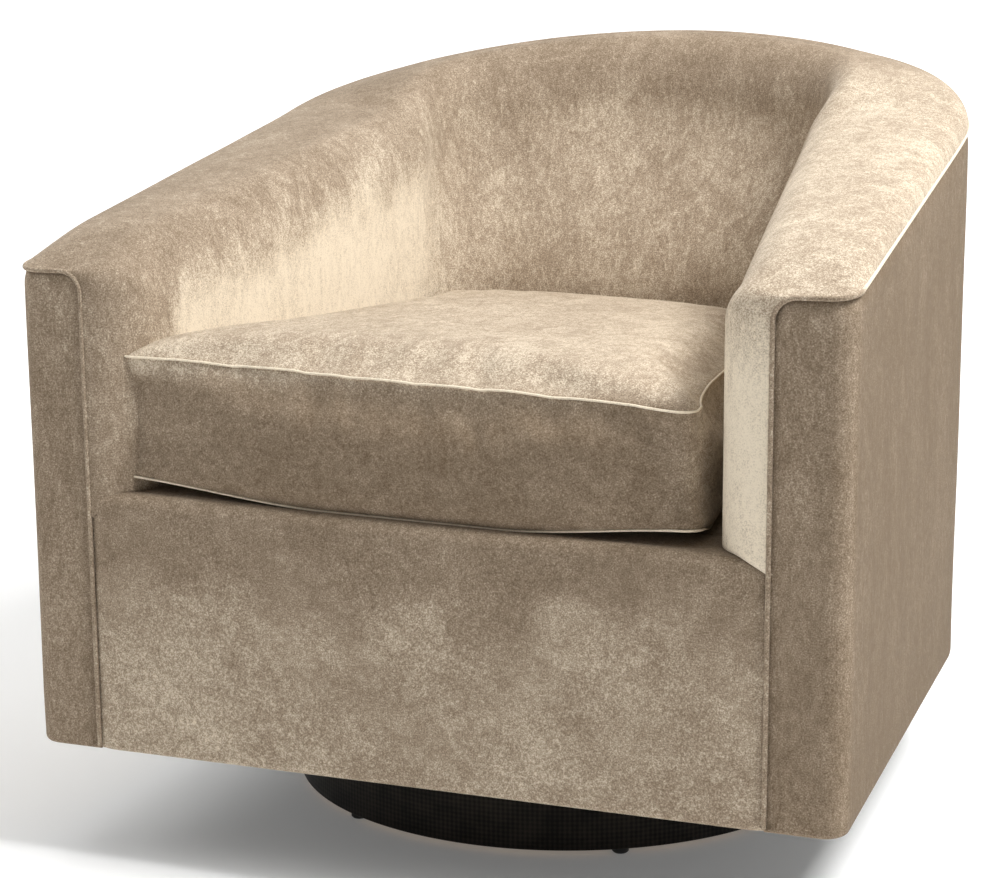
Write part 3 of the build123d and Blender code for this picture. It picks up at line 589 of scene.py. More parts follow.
@dataclass(frozen=True)
class Metal:
    """Plated or drawn metal with fine brushing and a little tarnish."""

    name: str
    pale: Triple
    dull: Triple
    polish: float = 0.3

    def material(self) -> Material:
        """Builds the material: stretched noise for the brushing, broad noise for tarnish.

        Returns:
            The material.
        """
        shader = Shader(self.name)
        brushing = shader.noise(shader.coordinates((1.0, 18.0, 18.0)), 60.0, 4.0, 0.6)
        tarnish = shader.noise(shader.coordinates(), 24.0, 5.0, 0.6)
        mixed = shader.span(shader.sum(tarnish, brushing, 0.4), 0.4, 1.0)
        colour = shader.ramp(mixed, [(0.0, self.dull), (1.0, self.pale)])
        rough = shader.span(tarnish, 0.3, 0.7, self.polish + 0.16, self.polish)
        return shader.finish(colour, rough, shader.bump(brushing, 0.0002, 0.2), metallic=1.0)


@dataclass(frozen=True)
class Moulded:
    """Moulded plastic: fine grain over a nearly even colour."""

    name: str
    shade: Triple
    light: Triple
    grain: float = 500.0
    rough: float = 0.55

    def material(self) -> Material:
        """Builds the material: one fine noise for grain and one broad one for colour.

        Returns:
            The material.
        """
        shader = Shader(self.name)
        grain = shader.noise(shader.coordinates(), self.grain, 3.0, 0.6)
        cast = shader.noise(shader.coordinates(), 30.0, 4.0, 0.6)
        mixed = shader.span(shader.sum(cast, grain, 0.4), 0.4, 1.0)
        colour = shader.ramp(mixed, [(0.0, self.shade), (1.0, self.light)])
        return shader.finish(colour, self.rough, shader.bump(grain, 0.0003, 0.4))


@dataclass(frozen=True)
class Paper:
    """White backdrop paper, lit more from behind the further it lies from the chair."""

    name: str
    shade: Triple = (0.90, 0.90, 0.895)
    light: Triple = (0.95, 0.95, 0.945)
    near: float = 0.8
    far: float = 3.4
    glow: float = 0.60

    def material(self) -> Material:
        """Builds the material: a faint grain, and a glow that grows smoothly between two distances.

        Returns:
            The material.
        """
        shader = Shader(self.name)
        grain = shader.noise(shader.coordinates(), 60.0, 3.0, 0.6)
        colour = shader.ramp(grain, [(0.3, self.shade), (0.7, self.light)])
        away = shader.add("ShaderNodeVectorMath", operation="LENGTH")
        shader.join(shader.coordinates(), away.inputs[0])
        glow = shader.span(away.outputs["Value"], self.near, self.far, 0.12, self.glow)
        shader.join(glow, shader.surface.inputs["Emission Strength"])
        return shader.finish(colour, 0.8, emission_color=(1.0, 1.0, 0.99, 1.0))


@dataclass(frozen=True)
class TubPlan:
    """Plan of a tub: straight sides, two corner arcs and a flatter back arc, tangent to each other.

    The half-width is measured at the front, and each side closes in towards the back by the taper's angle.
    """

    half_width: float
    front: float
    back: float
    corner_radius: float
    back_radius: float
    taper: float = 0.0

    @property
    def back_centre(self) -> float:
        """Y of the back arc's centre."""
        return self.back - self.back_radius

    def side_x(self, y: Array | float) -> Array | float:
        """X of the right side's line at each distance back."""
        return self.half_width - (y - self.front) * math.tan(self.taper)

    @property
    def corner_y(self) -> float:
        """Y of the corner arcs' centres: the radii's difference away from the back arc's centre.

        Returns:
            The larger root of the quadratic equation that this gives.
        """
        slope = math.tan(self.taper)
        start = self.side_x(0.0) - self.corner_radius / math.cos(self.taper)
        middle = slope * start + self.back_centre
        apart = (self.back_radius - self.corner_radius) ** 2 - start**2 - self.back_centre**2
        return (middle + math.sqrt(middle**2 + (1.0 + slope**2) * apart)) / (1.0 + slope**2)

    @property
    def corner_x(self) -> float:
        """X of the right corner arc's centre."""
        return self.side_x(self.corner_y) - self.corner_radius / math.cos(self.taper)

    @property
    def side_end(self) -> float:
        """Y where the straight sides end and the corner arcs begin."""
        return self.corner_y + self.corner_radius * math.sin(self.taper)

    @property
    def back_turn(self) -> float:
        """Half the angle of the back arc."""
        return math.atan2(self.corner_x, self.corner_y - self.back_centre)

    @property
    def corner_turn(self) -> float:
        """Angle of a corner arc."""
        return math.pi / 2 - self.taper - self.back_turn

    @property
    def bend_length(self) -> float:
        """Length of half the back arc and one corner arc."""
        return self.back_turn * self.back_radius + self.corner_turn * self.corner_radius

    @property
    def half_length(self) -> float:
        """Length from the middle of the back to the front end of a side."""
        return self.bend_length + (self.side_end - self.front) / math.cos(self.taper)

    def walk(self, distance: Array) -> tuple[Array, Array]:
        """Places along the outline, at distances from the middle of the back that are positive to the right.

        The angle grows as distance over radius, first on the back arc and then on the corner arc, and past
        both the outline runs straight to the front.

        Args:
            distance: running lengths.

        Returns:
            Points and outward normals, in plan.
        """
        side = np.where(distance < 0.0, -1.0, 1.0)
        run = np.abs(distance)
        back_run = self.back_turn * self.back_radius
        angle = np.minimum(run / self.back_radius, self.back_turn)
        angle = angle + np.clip((run - back_run) / self.corner_radius, 0.0, self.corner_turn)
        straight = np.maximum(run - self.bend_length, 0.0)
        on_back = run <= back_run
        radius = np.where(on_back, self.back_radius, self.corner_radius)
        sine, cosine = np.sin(angle), np.cos(angle)
        x = np.where(on_back, 0.0, self.corner_x) + radius * sine + straight * cosine
        y = np.where(on_back, self.back_centre, self.corner_y) + radius * cosine - straight * sine
        return np.stack((side * x, y), axis=-1), np.stack((side * sine, cosine), axis=-1)

    def outside_by(self, points: Array) -> Array:
        """Distance of each point outside the outline, negative inside it; the front edge is not counted.

        Args:
            points: places in plan.

        Returns:
            Distances, one for each place.
        """
        x, y = np.abs(points[..., 0]), points[..., 1]
        to_back = np.hypot(x, y - self.back_centre) - self.back_radius
        to_corner = np.hypot(x - self.corner_x, y - self.corner_y) - self.corner_radius
        curved = np.where(np.arctan2(x, y - self.back_centre) < self.back_turn, to_back, to_corner)
        beside = (y - self.corner_y) * math.cos(self.taper) < (x - self.corner_x) * math.sin(self.taper)
        return np.where(beside, (x - self.side_x(y)) * math.cos(self.taper), curved)

    def inset(self, by: float) -> TubPlan:
        """The plan drawn in all round, except at the front.

        Args:
            by: distance inwards.

        Returns:
            The smaller plan.
        """
        width = self.half_width - by / math.cos(self.taper)
        arcs = {"corner_radius": self.corner_radius - by, "back_radius": self.back_radius - by}
        return replace(self, half_width=width, back=self.back - by, **arcs)

    def depth_from(self, start: Array, inward: Array) -> Array:
        """How far rays run from points outside the outline before they meet it, found by halving.

        Args:
            start: points outside the outline.
            inward: unit directions of the rays.

        Returns:
            Lengths of the rays.
        """
        near = np.zeros(len(start))
        far = np.full(len(start), self.half_width)
        for _ in range(HALVINGS):
            middle = (near + far) / 2.0
            still_outside = self.outside_by(start + inward * middle[:, None]) > 0.0
            near = np.where(still_outside, middle, near)
            far = np.where(still_outside, far, middle)
        return far


@dataclass(frozen=True)
class SeamLine:
    """Line of the welt along the arms and back: a slope up the arms that sweeps up to the back."""

    front: float
    start_height: float
    slope: float
    sweep_start: float
    sweep_radius: float

    def height(self, y: Array) -> Array:
        """Height at each distance back: the slope, and past its start a circle of the sweep's radius.

        Args:
            y: distances back.

        Returns:
            Heights of the welt's line.
        """
        straight = self.start_height + (np.minimum(y, self.sweep_start) - self.front) * math.tan(self.slope)
        rise = math.sin(self.slope) + np.maximum(y - self.sweep_start, 0.0) / self.sweep_radius
        return straight + self.sweep_radius * (math.cos(self.slope) - np.sqrt(1.0 - rise**2))


@dataclass(frozen=True)
class Tub:
    """Sizes of the tub's lines that the frame's boxes don't give."""

    outside_corner: float = 0.248
    outside_back: float = 0.495
    arm_depth: float = 0.111
    back_depth: float = 0.165
    inside_corner: float = 0.105
    inside_back: float = 0.420
    inside_taper: float = math.radians(6.3)
    seam_height: float = 0.552
    seam_slope: float = math.radians(10.4)
    sweep_start: float = 0.060
    sweep_radius: float = 1.750
    cushion_gap: float = 0.009
    cushion_setback: float = 0.012

    def outside(self, low: Vector, high: Vector) -> TubPlan:
        """Plan of the outside, in the outside cover's box."""
        return TubPlan(high.x, low.y, high.y, self.outside_corner, self.outside_back)

    def inside(self, low: Vector, high: Vector) -> TubPlan:
        """Plan of the inside at deck level, in the outside cover's box."""
        half_width, back = high.x - self.arm_depth, high.y - self.back_depth
        return TubPlan(half_width, low.y, back, self.inside_corner, self.inside_back, self.inside_taper)

    def seam(self, front: float) -> SeamLine:
        """Line of the welt, from the front."""
        return SeamLine(front, self.seam_height, self.seam_slope, self.sweep_start, self.sweep_radius)

    def cushion(self, inside: TubPlan) -> TubPlan:
        """Plan of the cushion, a gap within the inside and a setback behind the front.

        Args:
            inside: plan of the inside.

        Returns:
            The cushion's plan.
        """
        front = inside.front + self.cushion_setback
        width = inside.side_x(front) - self.cushion_gap
        return replace(inside.inset(self.cushion_gap), front=front, half_width=width)


@dataclass(frozen=True)
class DeckLevel:
    """Level of the deck, which has sunk a little more on the right than on the left."""

    height: float
    lift: float = 0.0045
    slope: float = -0.024

    def settled(self, x: Array) -> Array:
        """How far the deck stands above its height at each x."""
        return self.lift + self.slope * x


@dataclass
class Upholstery:
    """All that is sewn to the frame: inside pad, outside cover, front panel, deck, welt and dust cover."""

    outside: TubPlan
    inside: TubPlan
    seam: SeamLine
    hem: float
    level: DeckLevel
    face_width: float = 0.067
    face_corner: float = 0.020
    front_corner: float = 0.022
    front_flare: float = 0.049
    front_brow: float = 0.110
    ridge_rise: float = 0.017
    arm_fullness: float = 0.010
    outer_roll: float = 0.024
    inner_roll: float = 0.048
    inner_drop: float = 0.070
    back_lean: float = 0.073
    lumbar_rise: float = 0.130
    wall: float = 0.0442
    crown: float = 0.002
    panel_roll: float = 0.013
    panel_lip: float = 0.075
    panel_back: float = 0.011
    panel_puff: float = 0.0016
    lip_depth: float = 0.014
    hem_width: float = 0.032
    hem_foot: float = 0.005
    hem_cloth: float = 0.0015
    end_recess: float = 0.012
    roll_run: float = 0.04
    drop_run: float = 0.08
    foot_tuck: float = 0.010
    return_gap: float = 0.004
    even_run: float = 0.09
    unevenness: float = 0.0012
    cover_thickness: float = 0.006
    dust_edge: float = 0.012
    dust_hole: float = 0.118
    dust_sag: float = 0.004
    dust_cloth: float = 0.0008
    welt_radius: float = 0.0022
    welt_sink: float = 0.0010
    edge_dip: float = 0.0026
    edge_width: float = 0.007
    stations: int = 150
    face_rows: int = 58

    @property
    def seam_x(self) -> float:
        """X of the seam between an arm front and the front panel."""
        return self.outside.half_width - self.face_width

    @property
    def deck(self) -> float:
        """Height of the deck before it settles."""
        return self.level.height

    def panel_top(self, behind: Array) -> Array:
        """Height of the front panel's rolled top behind the front: a quarter circle, then level."""
        into = np.clip(self.panel_roll - behind, 0.0, self.panel_roll)
        return self.deck - self.panel_roll + np.sqrt(self.panel_roll**2 - into**2)

    def hem_fold(self) -> tuple[Array, Array]:
        """Profile of the hem: its inner edge, then a quarter circle from the underside up to the face.

        Returns:
            Distances in from the face, and heights.
        """
        turn = np.linspace(-math.pi / 2, 0.0, 6)[:-1]
        inset = np.concatenate(([self.hem_width], self.hem_foot - self.hem_foot * np.cos(turn)))
        height = np.concatenate(([self.hem], self.hem + self.hem_foot + self.hem_foot * np.sin(turn)))
        return inset, height

    def pad_stations(self) -> tuple[Array, Array]:
        """Running lengths of the pad's sections and how far each lies behind the arm front, right to left.

        Within the flare the spacing follows the sine of the flare's angle, so its arc is even.

        Returns:
            Running lengths, and distances behind the arm front.
        """
        turn = np.linspace(math.pi / 2, self.inside.taper, 22)
        flare = self.front_flare * (1.0 - np.sin(turn))
        rest = np.linspace(flare[-1], self.outside.half_length, self.stations)[1:]
        behind = np.concatenate((flare, rest))
        distance = self.outside.half_length - behind
        return np.concatenate((distance, -distance[-2::-1])), np.concatenate((behind, behind[-2::-1]))

    def flare_x(self, behind: Array) -> Array:
        """X of the right arm's inside face at deck level near its front, where it bends out in an arc.

        Args:
            behind: distances behind the front.

        Returns:
            X of the face at each.
        """
        turn = self.inside.taper
        centre = self.inside.half_width + self.front_flare * (1.0 - math.sin(turn)) / math.cos(turn)
        into = np.clip(1.0 - behind / self.front_flare, 0.0, 1.0)
        arc = centre - self.front_flare * np.sqrt(1.0 - into**2)
        straight = self.inside.side_x(self.outside.front + behind)
        return np.where(behind < self.front_flare * (1.0 - math.sin(turn)), arc, straight)

    def crowding(self, points: Array) -> Array:
        """How far points in plan stand past the inside face at deck level."""
        spread = self.flare_x(points[:, 1] - self.outside.front) - self.inside.side_x(points[:, 1])
        return self.inside.outside_by(points) - np.where(points[:, 1] < 0.0, spread, 0.0)

    def pad_rings(self) -> Array:
        """Sections of the inside pad, square to the outside plan.

        Each goes from the seam up a quarter ellipse, over a slightly crowned top, round a taller quarter
        ellipse and down the inside face, which leans on the back; it returns along the frame. Towards the arm
        front the depth follows an arc in plan, the outer edge rounds off and the top comes down to the seam.

        Returns:
            The sections, ring by ring.
        """
        distance, behind = self.pad_stations()
        place, normal = self.outside.walk(distance)
        flared = behind < self.front_flare
        depth = self.inside.depth_from(place, -normal)
        depth = np.where(flared, self.outside.half_width - self.flare_x(behind), depth)
        brow = np.clip(1.0 - behind / self.front_brow, 0.0, 1.0)
        front, side_end = self.outside.front, self.outside.side_end
        along = np.clip((place[:, 1] - front) / (side_end - front), 0.0, 1.0)
        full = self.ridge_rise + self.arm_fullness * along * (1.0 - normal[:, 1] ** 2)
        rise = full * (1.0 - brow**2)
        edge = np.clip(self.front_corner - behind, 0.0, self.front_corner)
        start = self.front_corner - np.sqrt(self.front_corner**2 - edge**2)
        room = depth - start - self.outer_roll
        roll = self.face_corner + (self.inner_roll - self.face_corner) * smooth(behind / self.roll_run)
        roll = np.minimum(roll, room)
        drop = self.face_corner + (self.inner_drop - self.face_corner) * smooth(behind / self.drop_run)
        top = depth - self.back_lean * normal[:, 1] ** 2
        seam = self.seam.height(place[:, 1])
        column = (depth, rise, roll, drop, start, top, seam, seam + rise)
        depth, rise, roll, drop, start, top, seam, ridge = (value[:, None] for value in column)

        quarter = np.linspace(0.0, math.pi / 2, 12)[None, :]
        outer = start + self.outer_roll * (1.0 - np.cos(quarter))
        outer_z = seam + rise * np.sin(quarter)
        share = np.linspace(0.0, 1.0, 12)[None, 1:]
        flat = start + self.outer_roll + share * (top - roll - self.outer_roll - start)
        flat_z = ridge + self.crown * (rise / self.ridge_rise) * 4.0 * share * (1.0 - share)
        bend = np.linspace(0.0, math.pi / 2, 22)[None, 1:]
        inner = top - roll + roll * np.sin(bend)
        inner_z = ridge - drop + drop * np.cos(bend)
        down = np.linspace(0.0, 1.0, self.face_rows)[None, 1:]
        sunk = self.foot_tuck * smooth((behind[:, None] - self.panel_lip) / 0.01)
        foot = self.panel_top(behind)[:, None] - sunk
        face_z = ridge - drop + down * (foot - ridge + drop)
        fall = (ridge - drop - face_z) / (ridge - drop - self.deck - self.lumbar_rise)
        face = top + (depth - top) * smooth(fall)
        back_depth = np.minimum(self.wall, depth - 0.02)
        under_seam = seam - self.return_gap
        return_in = np.concatenate((back_depth, back_depth, start + self.return_gap), axis=1)
        return_z = np.concatenate((foot, under_seam, under_seam), axis=1)

        inset = np.concatenate((outer, flat, inner, face, return_in), axis=1)
        height = np.concatenate((outer_z, flat_z, inner_z, face_z, return_z), axis=1)
        return standing_rings(place, normal, inset, height)

    def inside_pad(self, velvet: Velvet) -> Piece:
        """Inside arms and back in one piece, slightly uneven like hand-pulled cloth, with recessed ends.

        Args:
            velvet: its finish.

        Returns:
            The piece, riding on the seat.
        """
        rings = self.pad_rings()
        shown = rings.shape[1] - 3
        behind = np.minimum(self.pad_stations()[1] / self.even_run, 1.0)
        ease = smooth(behind)[:, None] * np.sin(np.linspace(0.0, np.pi, shown))[None, :] ** 0.5
        out = rings[:, :shown] - PAD_MIDDLE
        out /= np.linalg.norm(out, axis=-1, keepdims=True)
        rings[:, :shown] += out * (self.unevenness * ease * soft_waves(rings[:, :shown], 0.17, 4))[..., None]
        recessed = self.outside.front + self.end_recess
        rings[:, shown:, 1] = np.maximum(rings[:, shown:, 1], recessed)
        ends = np.concatenate((rings[:1], rings[-1:]))
        ends[..., 1] = recessed
        piece = tube("inside_pad_cover", np.concatenate((ends[:1], rings, ends[1:])))
        return self.dress(piece, velvet, "inside_pad", 0.8, self.pad_painted_light(vertices_of(piece)))

    def pad_painted_light(self, places: Array) -> Array:
        """Painted light and shade on the inside pad: a painted patch of light on the arms below a ragged line,
        painted shade over the top of the back.

        The left arm's painted light begins behind its front edge; the right arm's takes in its edge and top.

        Args:
            places: the piece's vertices.

        Returns:
            Painted light and shade at each vertex, to be added to the noise.
        """
        x, y, z = places.T
        ragged = 0.022 * soft_waves(places, 0.10, 41) + 0.012 * soft_waves(places, 0.035, 42)
        below = smooth((self.seam.height(y) + 0.004 - z + ragged) / 0.09)
        arm = smooth((np.abs(x) - 0.08) / 0.14) * smooth((0.24 - y) / 0.20)
        arm = arm * np.where(x < 0.0, smooth((y + 0.405 + ragged) / 0.10), 1.0)
        right = smooth((x - 0.20) / 0.06) * smooth((0.34 - y) / 0.2)
        over = smooth((z - 0.66) / 0.08) * (1.0 - right)
        left = smooth((-x - 0.20) / 0.08) * smooth((0.30 - y) / 0.2)
        # painted light on the arms below the line and a little on the right; painted shade on the left and
        # over the top of the back
        return 0.02 + 0.38 * arm * below + (0.05 * right - 0.12 * left) * (1.0 - arm * below) - 0.18 * over

    def cover_path(self) -> tuple[Array, Array, Array]:
        """Path of the outside cover in plan, from the right arm front's seam round the back to the left's.

        It runs along the arm front, round a small corner and along the tub's outline.

        Returns:
            Points, outward normals and the height of the top edge.
        """
        turn = np.linspace(0.0, math.pi / 2, 12)
        corner_in = self.seam_x + self.face_corner * (1.0 - np.cos(turn))
        end_x = self.outside.half_width - self.front_corner
        flat = np.linspace(self.seam_x + self.face_corner, end_x, 16)[1:]
        face_x = np.concatenate((corner_in, flat))
        face = np.stack((face_x, np.full_like(face_x, self.outside.front)), axis=-1)
        bend = turn[1:, None]
        centre = np.array((end_x, self.outside.front + self.front_corner))
        bend_normal = np.concatenate((np.sin(bend), -np.cos(bend)), axis=1)
        run = np.linspace(self.outside.half_length - self.front_corner, 0.0, 2 * self.stations)[1:]
        side, side_normal = self.outside.walk(run)
        half = np.concatenate((face, centre + self.front_corner * bend_normal, side))
        face_normal = np.tile((0.0, -1.0), (len(face), 1))
        half_normal = np.concatenate((face_normal, bend_normal, side_normal))
        top = self.seam.height(half[:, 1])
        reach = np.clip(self.seam_x + self.face_corner - half[:, 0], 0.0, self.face_corner)
        on_face = np.arange(len(half)) < len(face)
        dip = self.face_corner - np.sqrt(self.face_corner**2 - reach**2)
        top = top - np.where(on_face, dip, 0.0)
        mirror = np.array((-1.0, 1.0))
        points = np.concatenate((half, half[-2::-1] * mirror))
        normals = np.concatenate((half_normal, half_normal[-2::-1] * mirror))
        return points, normals, np.concatenate((top, top[-2::-1]))

    def outside_cover(self, velvet: Velvet) -> Piece:
        """Outside band: an upright face that dips to the welt at its edges and folds under in a hem.

        Args:
            velvet: its finish.

        Returns:
            The piece, riding on the seat.
        """
        points, normals, top = self.cover_path()
        top = top[:, None] - 0.5 * self.welt_radius
        run = np.linspace(0.0, 1.0, self.face_rows + 14)[None, :] ** 0.85
        foot = self.hem_foot
        z = self.hem + foot + run * (top - self.hem - foot)
        on_front = np.abs(points[:, 1] - self.outside.front) < 1e-9
        seam_gap = np.where(on_front, np.abs(points[:, 0]) - self.seam_x, 1.0)
        near_seam = np.exp(-((seam_gap[:, None] / self.edge_width) ** 2))
        dip = self.edge_dip * (np.exp(-(((top - z) / self.edge_width) ** 2)) + near_seam)
        under, under_z = self.hem_fold()
        ones = np.ones((len(points), 1))
        backing = ones * (self.cover_thickness, self.cover_thickness, self.hem_width)
        inner_hem = self.hem + self.hem_cloth
        backing_z = np.concatenate((top, ones * (inner_hem, inner_hem)), axis=1)
        inset = np.concatenate((ones * under, dip, backing), axis=1)
        height = np.concatenate((ones * under_z, z, backing_z), axis=1)
        rings = standing_rings(points, normals, inset, height)
        hidden = (seam_gap < self.hem_width)[:, None] & (inset > self.cover_thickness + 1e-9)
        behind_cover = points[:, None] - normals[:, None] * self.cover_thickness
        rings[..., :2] = np.where(hidden[..., None], behind_cover, rings[..., :2])
        face = slice(len(under), len(under) + z.shape[1])
        ease = (1.0 - np.exp(-(((top - z) / 0.05) ** 2))) * smooth((z - self.hem) / 0.05)
        ease = ease * smooth(seam_gap / 0.02)[:, None]
        swell = self.unevenness * ease * soft_waves(rings[:, face], 0.20, 8)
        rings[:, face, :2] += normals[:, None] * swell[..., None]
        piece = tube("outside_cover_cloth", rings)
        return self.dress(piece, velvet, "outside_cover", 0.7, self.cover_painted_light(vertices_of(piece)))

    def cover_painted_light(self, places: Array) -> Array:
        """Painted light and shade on the outside: painted light along the top, painted shade on the right
        side, low on the sides and on the arm fronts.

        Args:
            places: the piece's vertices.

        Returns:
            Painted light and shade at each vertex, to be added to the noise.
        """
        x, y, z = places.T
        near_top = np.exp(-(((self.seam.height(y) - z) / 0.05) ** 2))
        on_front = smooth((self.outside.front + 0.03 - y) / 0.02)
        left = smooth(-x / 0.1)
        right = smooth((x - 0.15) / 0.15) * (1.0 - on_front)
        low_down = smooth((0.25 - z) / 0.2)
        # painted light along the top; painted shade on the right side, low down and on the arm fronts, less on
        # the left front
        return 0.05 * near_top - 0.42 * right - 0.04 * low_down - on_front * (0.18 - 0.06 * left)

    def front_panel(self, velvet: Velvet) -> Piece:
        """Front between the arm fronts: hem, upright face, quarter-circle roll and lip under the cushion.

        Args:
            velvet: its finish.

        Returns:
            The piece, riding on the seat.
        """
        front = self.outside.front
        under, under_z = self.hem_fold()
        rise_z = np.linspace(self.hem + self.hem_foot, self.deck - self.panel_roll, 64)
        roll = np.linspace(0.0, math.pi / 2, 14)[1:]
        roll_y = front + self.panel_roll * (1.0 - np.cos(roll))
        roll_z = self.deck - self.panel_roll + self.panel_roll * np.sin(roll)
        lip_y = np.linspace(front + self.panel_roll, front + self.panel_lip, 16)[1:]
        back = front + np.array((self.panel_lip, self.panel_back, self.panel_back, self.hem_width))
        inner_hem = self.hem + self.hem_cloth
        under_lip = self.deck - self.lip_depth
        back_z = np.array((under_lip, under_lip, inner_hem, inner_hem))
        y = np.concatenate((front + under, np.full_like(rise_z, front), roll_y, lip_y, back))
        z = np.concatenate((under_z, rise_z, roll_z, np.full_like(lip_y, self.deck), back_z))
        reach = self.seam_x - 0.4 * self.welt_radius
        even = np.linspace(-1.0, 1.0, 161)
        x = reach * np.sin(math.pi / 2 * even) * 0.25 + reach * even * 0.75
        rings = np.empty((len(x), len(y), 3))
        rings[..., 0] = x[:, None]
        rings[..., 1] = y
        rings[..., 2] = z
        edge = np.exp(-(((reach - np.abs(x)) / self.edge_width) ** 2))[:, None]
        on_face = smooth((self.deck + 0.001 - z) / 0.004) * (y < front + self.panel_roll)
        puff = self.panel_puff * soft_waves(rings, 0.16, 21) * smooth((z - self.hem) / 0.05)
        rings[..., 1] += np.where(on_face > 0.0, self.edge_dip * edge + puff * (1.0 - edge), 0.0)
        on_top = smooth((z - self.deck + 0.03) / 0.03) * (1.0 - edge)
        rings[..., 2] += self.panel_puff * soft_waves(rings, 0.22, 12) * on_top
        rings[..., 2] += self.level.settled(x)[:, None] * smooth((z - 0.22) / 0.10)
        piece = tube("front_panel_cloth", rings)
        return self.dress(piece, velvet, "front_panel", 0.7, self.panel_band_and_painted_light(vertices_of(piece)))

    def panel_band_and_painted_light(self, places: Array) -> Array:
        """Marks on the front panel: a dark, ragged band below the top edge, and painted light on the lower
        left.

        Args:
            places: the piece's vertices.

        Returns:
            Lightening and darkening at each vertex, to be added to the noise.
        """
        x, _, z = places.T
        ragged = z + 0.05 * soft_waves(places, 0.12, 31) + 0.03 * soft_waves(places, 0.05, 32)
        band = smooth((ragged - 0.235) / 0.07)
        pale = smooth((0.22 - ragged) / 0.10) * smooth((0.1 - x) / 0.4)
        # painted light on the lower left; a dark band below the top edge
        return 0.08 * pale - 0.14 * band

    def seat_deck(self, velvet: Velvet) -> Piece:
        """Deck under the cushion: a thin pad with rolled-down edges, made of rings shrinking to its middle.

        The rim follows the inside plan; ring k is the rim drawn towards a line down the middle.

        Args:
            velvet: its finish.

        Returns:
            The piece, riding on the seat.
        """
        plan = self.inside
        front = self.outside.front + self.panel_lip + 0.001
        reach = plan.half_length - (front - plan.front)
        run = np.linspace(reach, -reach, 200)
        rim, normal = plan.walk(run)
        rim = rim - normal * 0.0020
        edge = np.linspace(rim[-1], rim[0], 60)[1:-1]
        loop = np.concatenate((rim, edge))
        middle = np.stack((np.zeros(len(loop)), np.clip(loop[:, 1], front + 0.12, 0.10)), axis=-1)
        drawn = np.array((0.0, 0.0, 0.0, 0.012, 0.05, 0.2, 0.45, 0.7, 0.9, 0.985))
        level = np.array((-0.0162, -0.010, -0.0045, -0.001, 0.0, 0.0, 0.0, 0.0, 0.0, 0.0))
        rings = np.empty((len(drawn), len(loop), 3))
        rings[..., :2] = loop + (middle - loop) * drawn[:, None, None]
        rings[..., 2] = self.deck - 0.0002 + level[:, None] + self.level.settled(rings[..., 0])
        piece = tube("seat_deck_cloth", rings)
        return self.dress(piece, velvet, "seat_deck", 0.6, np.full(len(piece.data.vertices), -0.12))

    def welt_path(self) -> Array:
        """Line of the welt: up the right arm front, round the outer top edge and down the left arm front.

        Returns:
            Points along the welt's middle.
        """
        points, normals, _ = self.cover_path()
        top = self.seam.height(points[:, 1])
        on_outline = np.abs(points[:, 0]) > self.outside.half_width - self.front_corner - 1e-9
        on_outline |= points[:, 1] > self.outside.front + 1e-9
        points, normals, top = points[on_outline], normals[on_outline], top[on_outline]
        along = np.column_stack((points - normals * self.welt_sink, top))
        turn = np.linspace(0.0, math.pi / 2, 14)
        rise = np.linspace(self.hem + 0.004, self.seam.start_height - self.face_corner, 60)
        corner_x = self.seam_x + self.face_corner * (1.0 - np.sin(turn))
        corner_z = self.seam.start_height - self.face_corner * (1.0 - np.cos(turn))
        x = np.concatenate((np.full_like(rise, self.seam_x), corner_x[-2:0:-1]))
        z = np.concatenate((rise, corner_z[-2:0:-1]))
        front = np.column_stack((x, np.full_like(x, self.outside.front + self.welt_sink), z))
        return np.concatenate((front, along, front[::-1] * (-1.0, 1.0, 1.0)))

    def welt(self, velvet: Velvet) -> Piece:
        """Cloth-covered cord, lying a little sunk in the seam.

        Args:
            velvet: its finish.

        Returns:
            The piece, riding on the seat.
        """
        path = resample(self.welt_path(), 1500)
        piece = sweep("welt", path, self.welt_radius, 10)
        places = vertices_of(piece)
        # painted highlight along the welt where it runs round the outer top edge, and a little painted shade
        # on the arm fronts
        nap_and_painted_light = 0.45 * smooth((places[:, 1] - self.outside.front - 0.01) / 0.03) - 0.05
        return self.dress(piece, velvet, "welt_cord", 0.9, nap_and_painted_light)

    def dust_cover(self, cambric: Woven) -> Piece:
        """Thin black cloth under the frame, sagging a little between its stapled edge and the swivel.

        Rings run from the rim of the tub's plan to the square opening round the swivel, and back above it.

        Args:
            cambric: its finish.

        Returns:
            The piece, riding on the seat.
        """
        low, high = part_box("dust_cover")
        inset = high.x
        outside, edge = self.outside, self.dust_edge
        radii = (outside.corner_radius - edge, outside.back_radius - edge)
        plan = TubPlan(inset, low.y, high.y, *radii)
        run = np.linspace(plan.half_length, -plan.half_length, 220)
        rim, _ = plan.walk(run)
        front = np.linspace(rim[-1], rim[0], 100)[1:-1]
        loop = resample(np.concatenate((rim, front)), 320, closed=True)
        angle = np.arctan2(loop[:, 1], loop[:, 0])
        way = np.stack((np.cos(angle), np.sin(angle)), axis=-1)
        hole = way * (self.dust_hole / np.maximum(np.abs(way[:, 0]), np.abs(way[:, 1])))[:, None]
        share = np.linspace(0.0, 1.0, 14)
        sag = self.dust_sag * np.sin(np.pi * share)
        lower = np.empty((len(share), len(loop), 3))
        lower[..., :2] = loop + (hole - loop) * share[:, None, None]
        lower[..., 2] = (low.z - sag)[:, None]
        upper = lower[::-1].copy()
        upper[..., 2] += self.dust_cloth
        piece = tube("dust_cover_cloth", np.concatenate((lower, upper)), closed=True)
        piece.data.materials.append(cambric.material())
        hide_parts("dust_cover")
        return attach(piece, Body.SEAT.value)

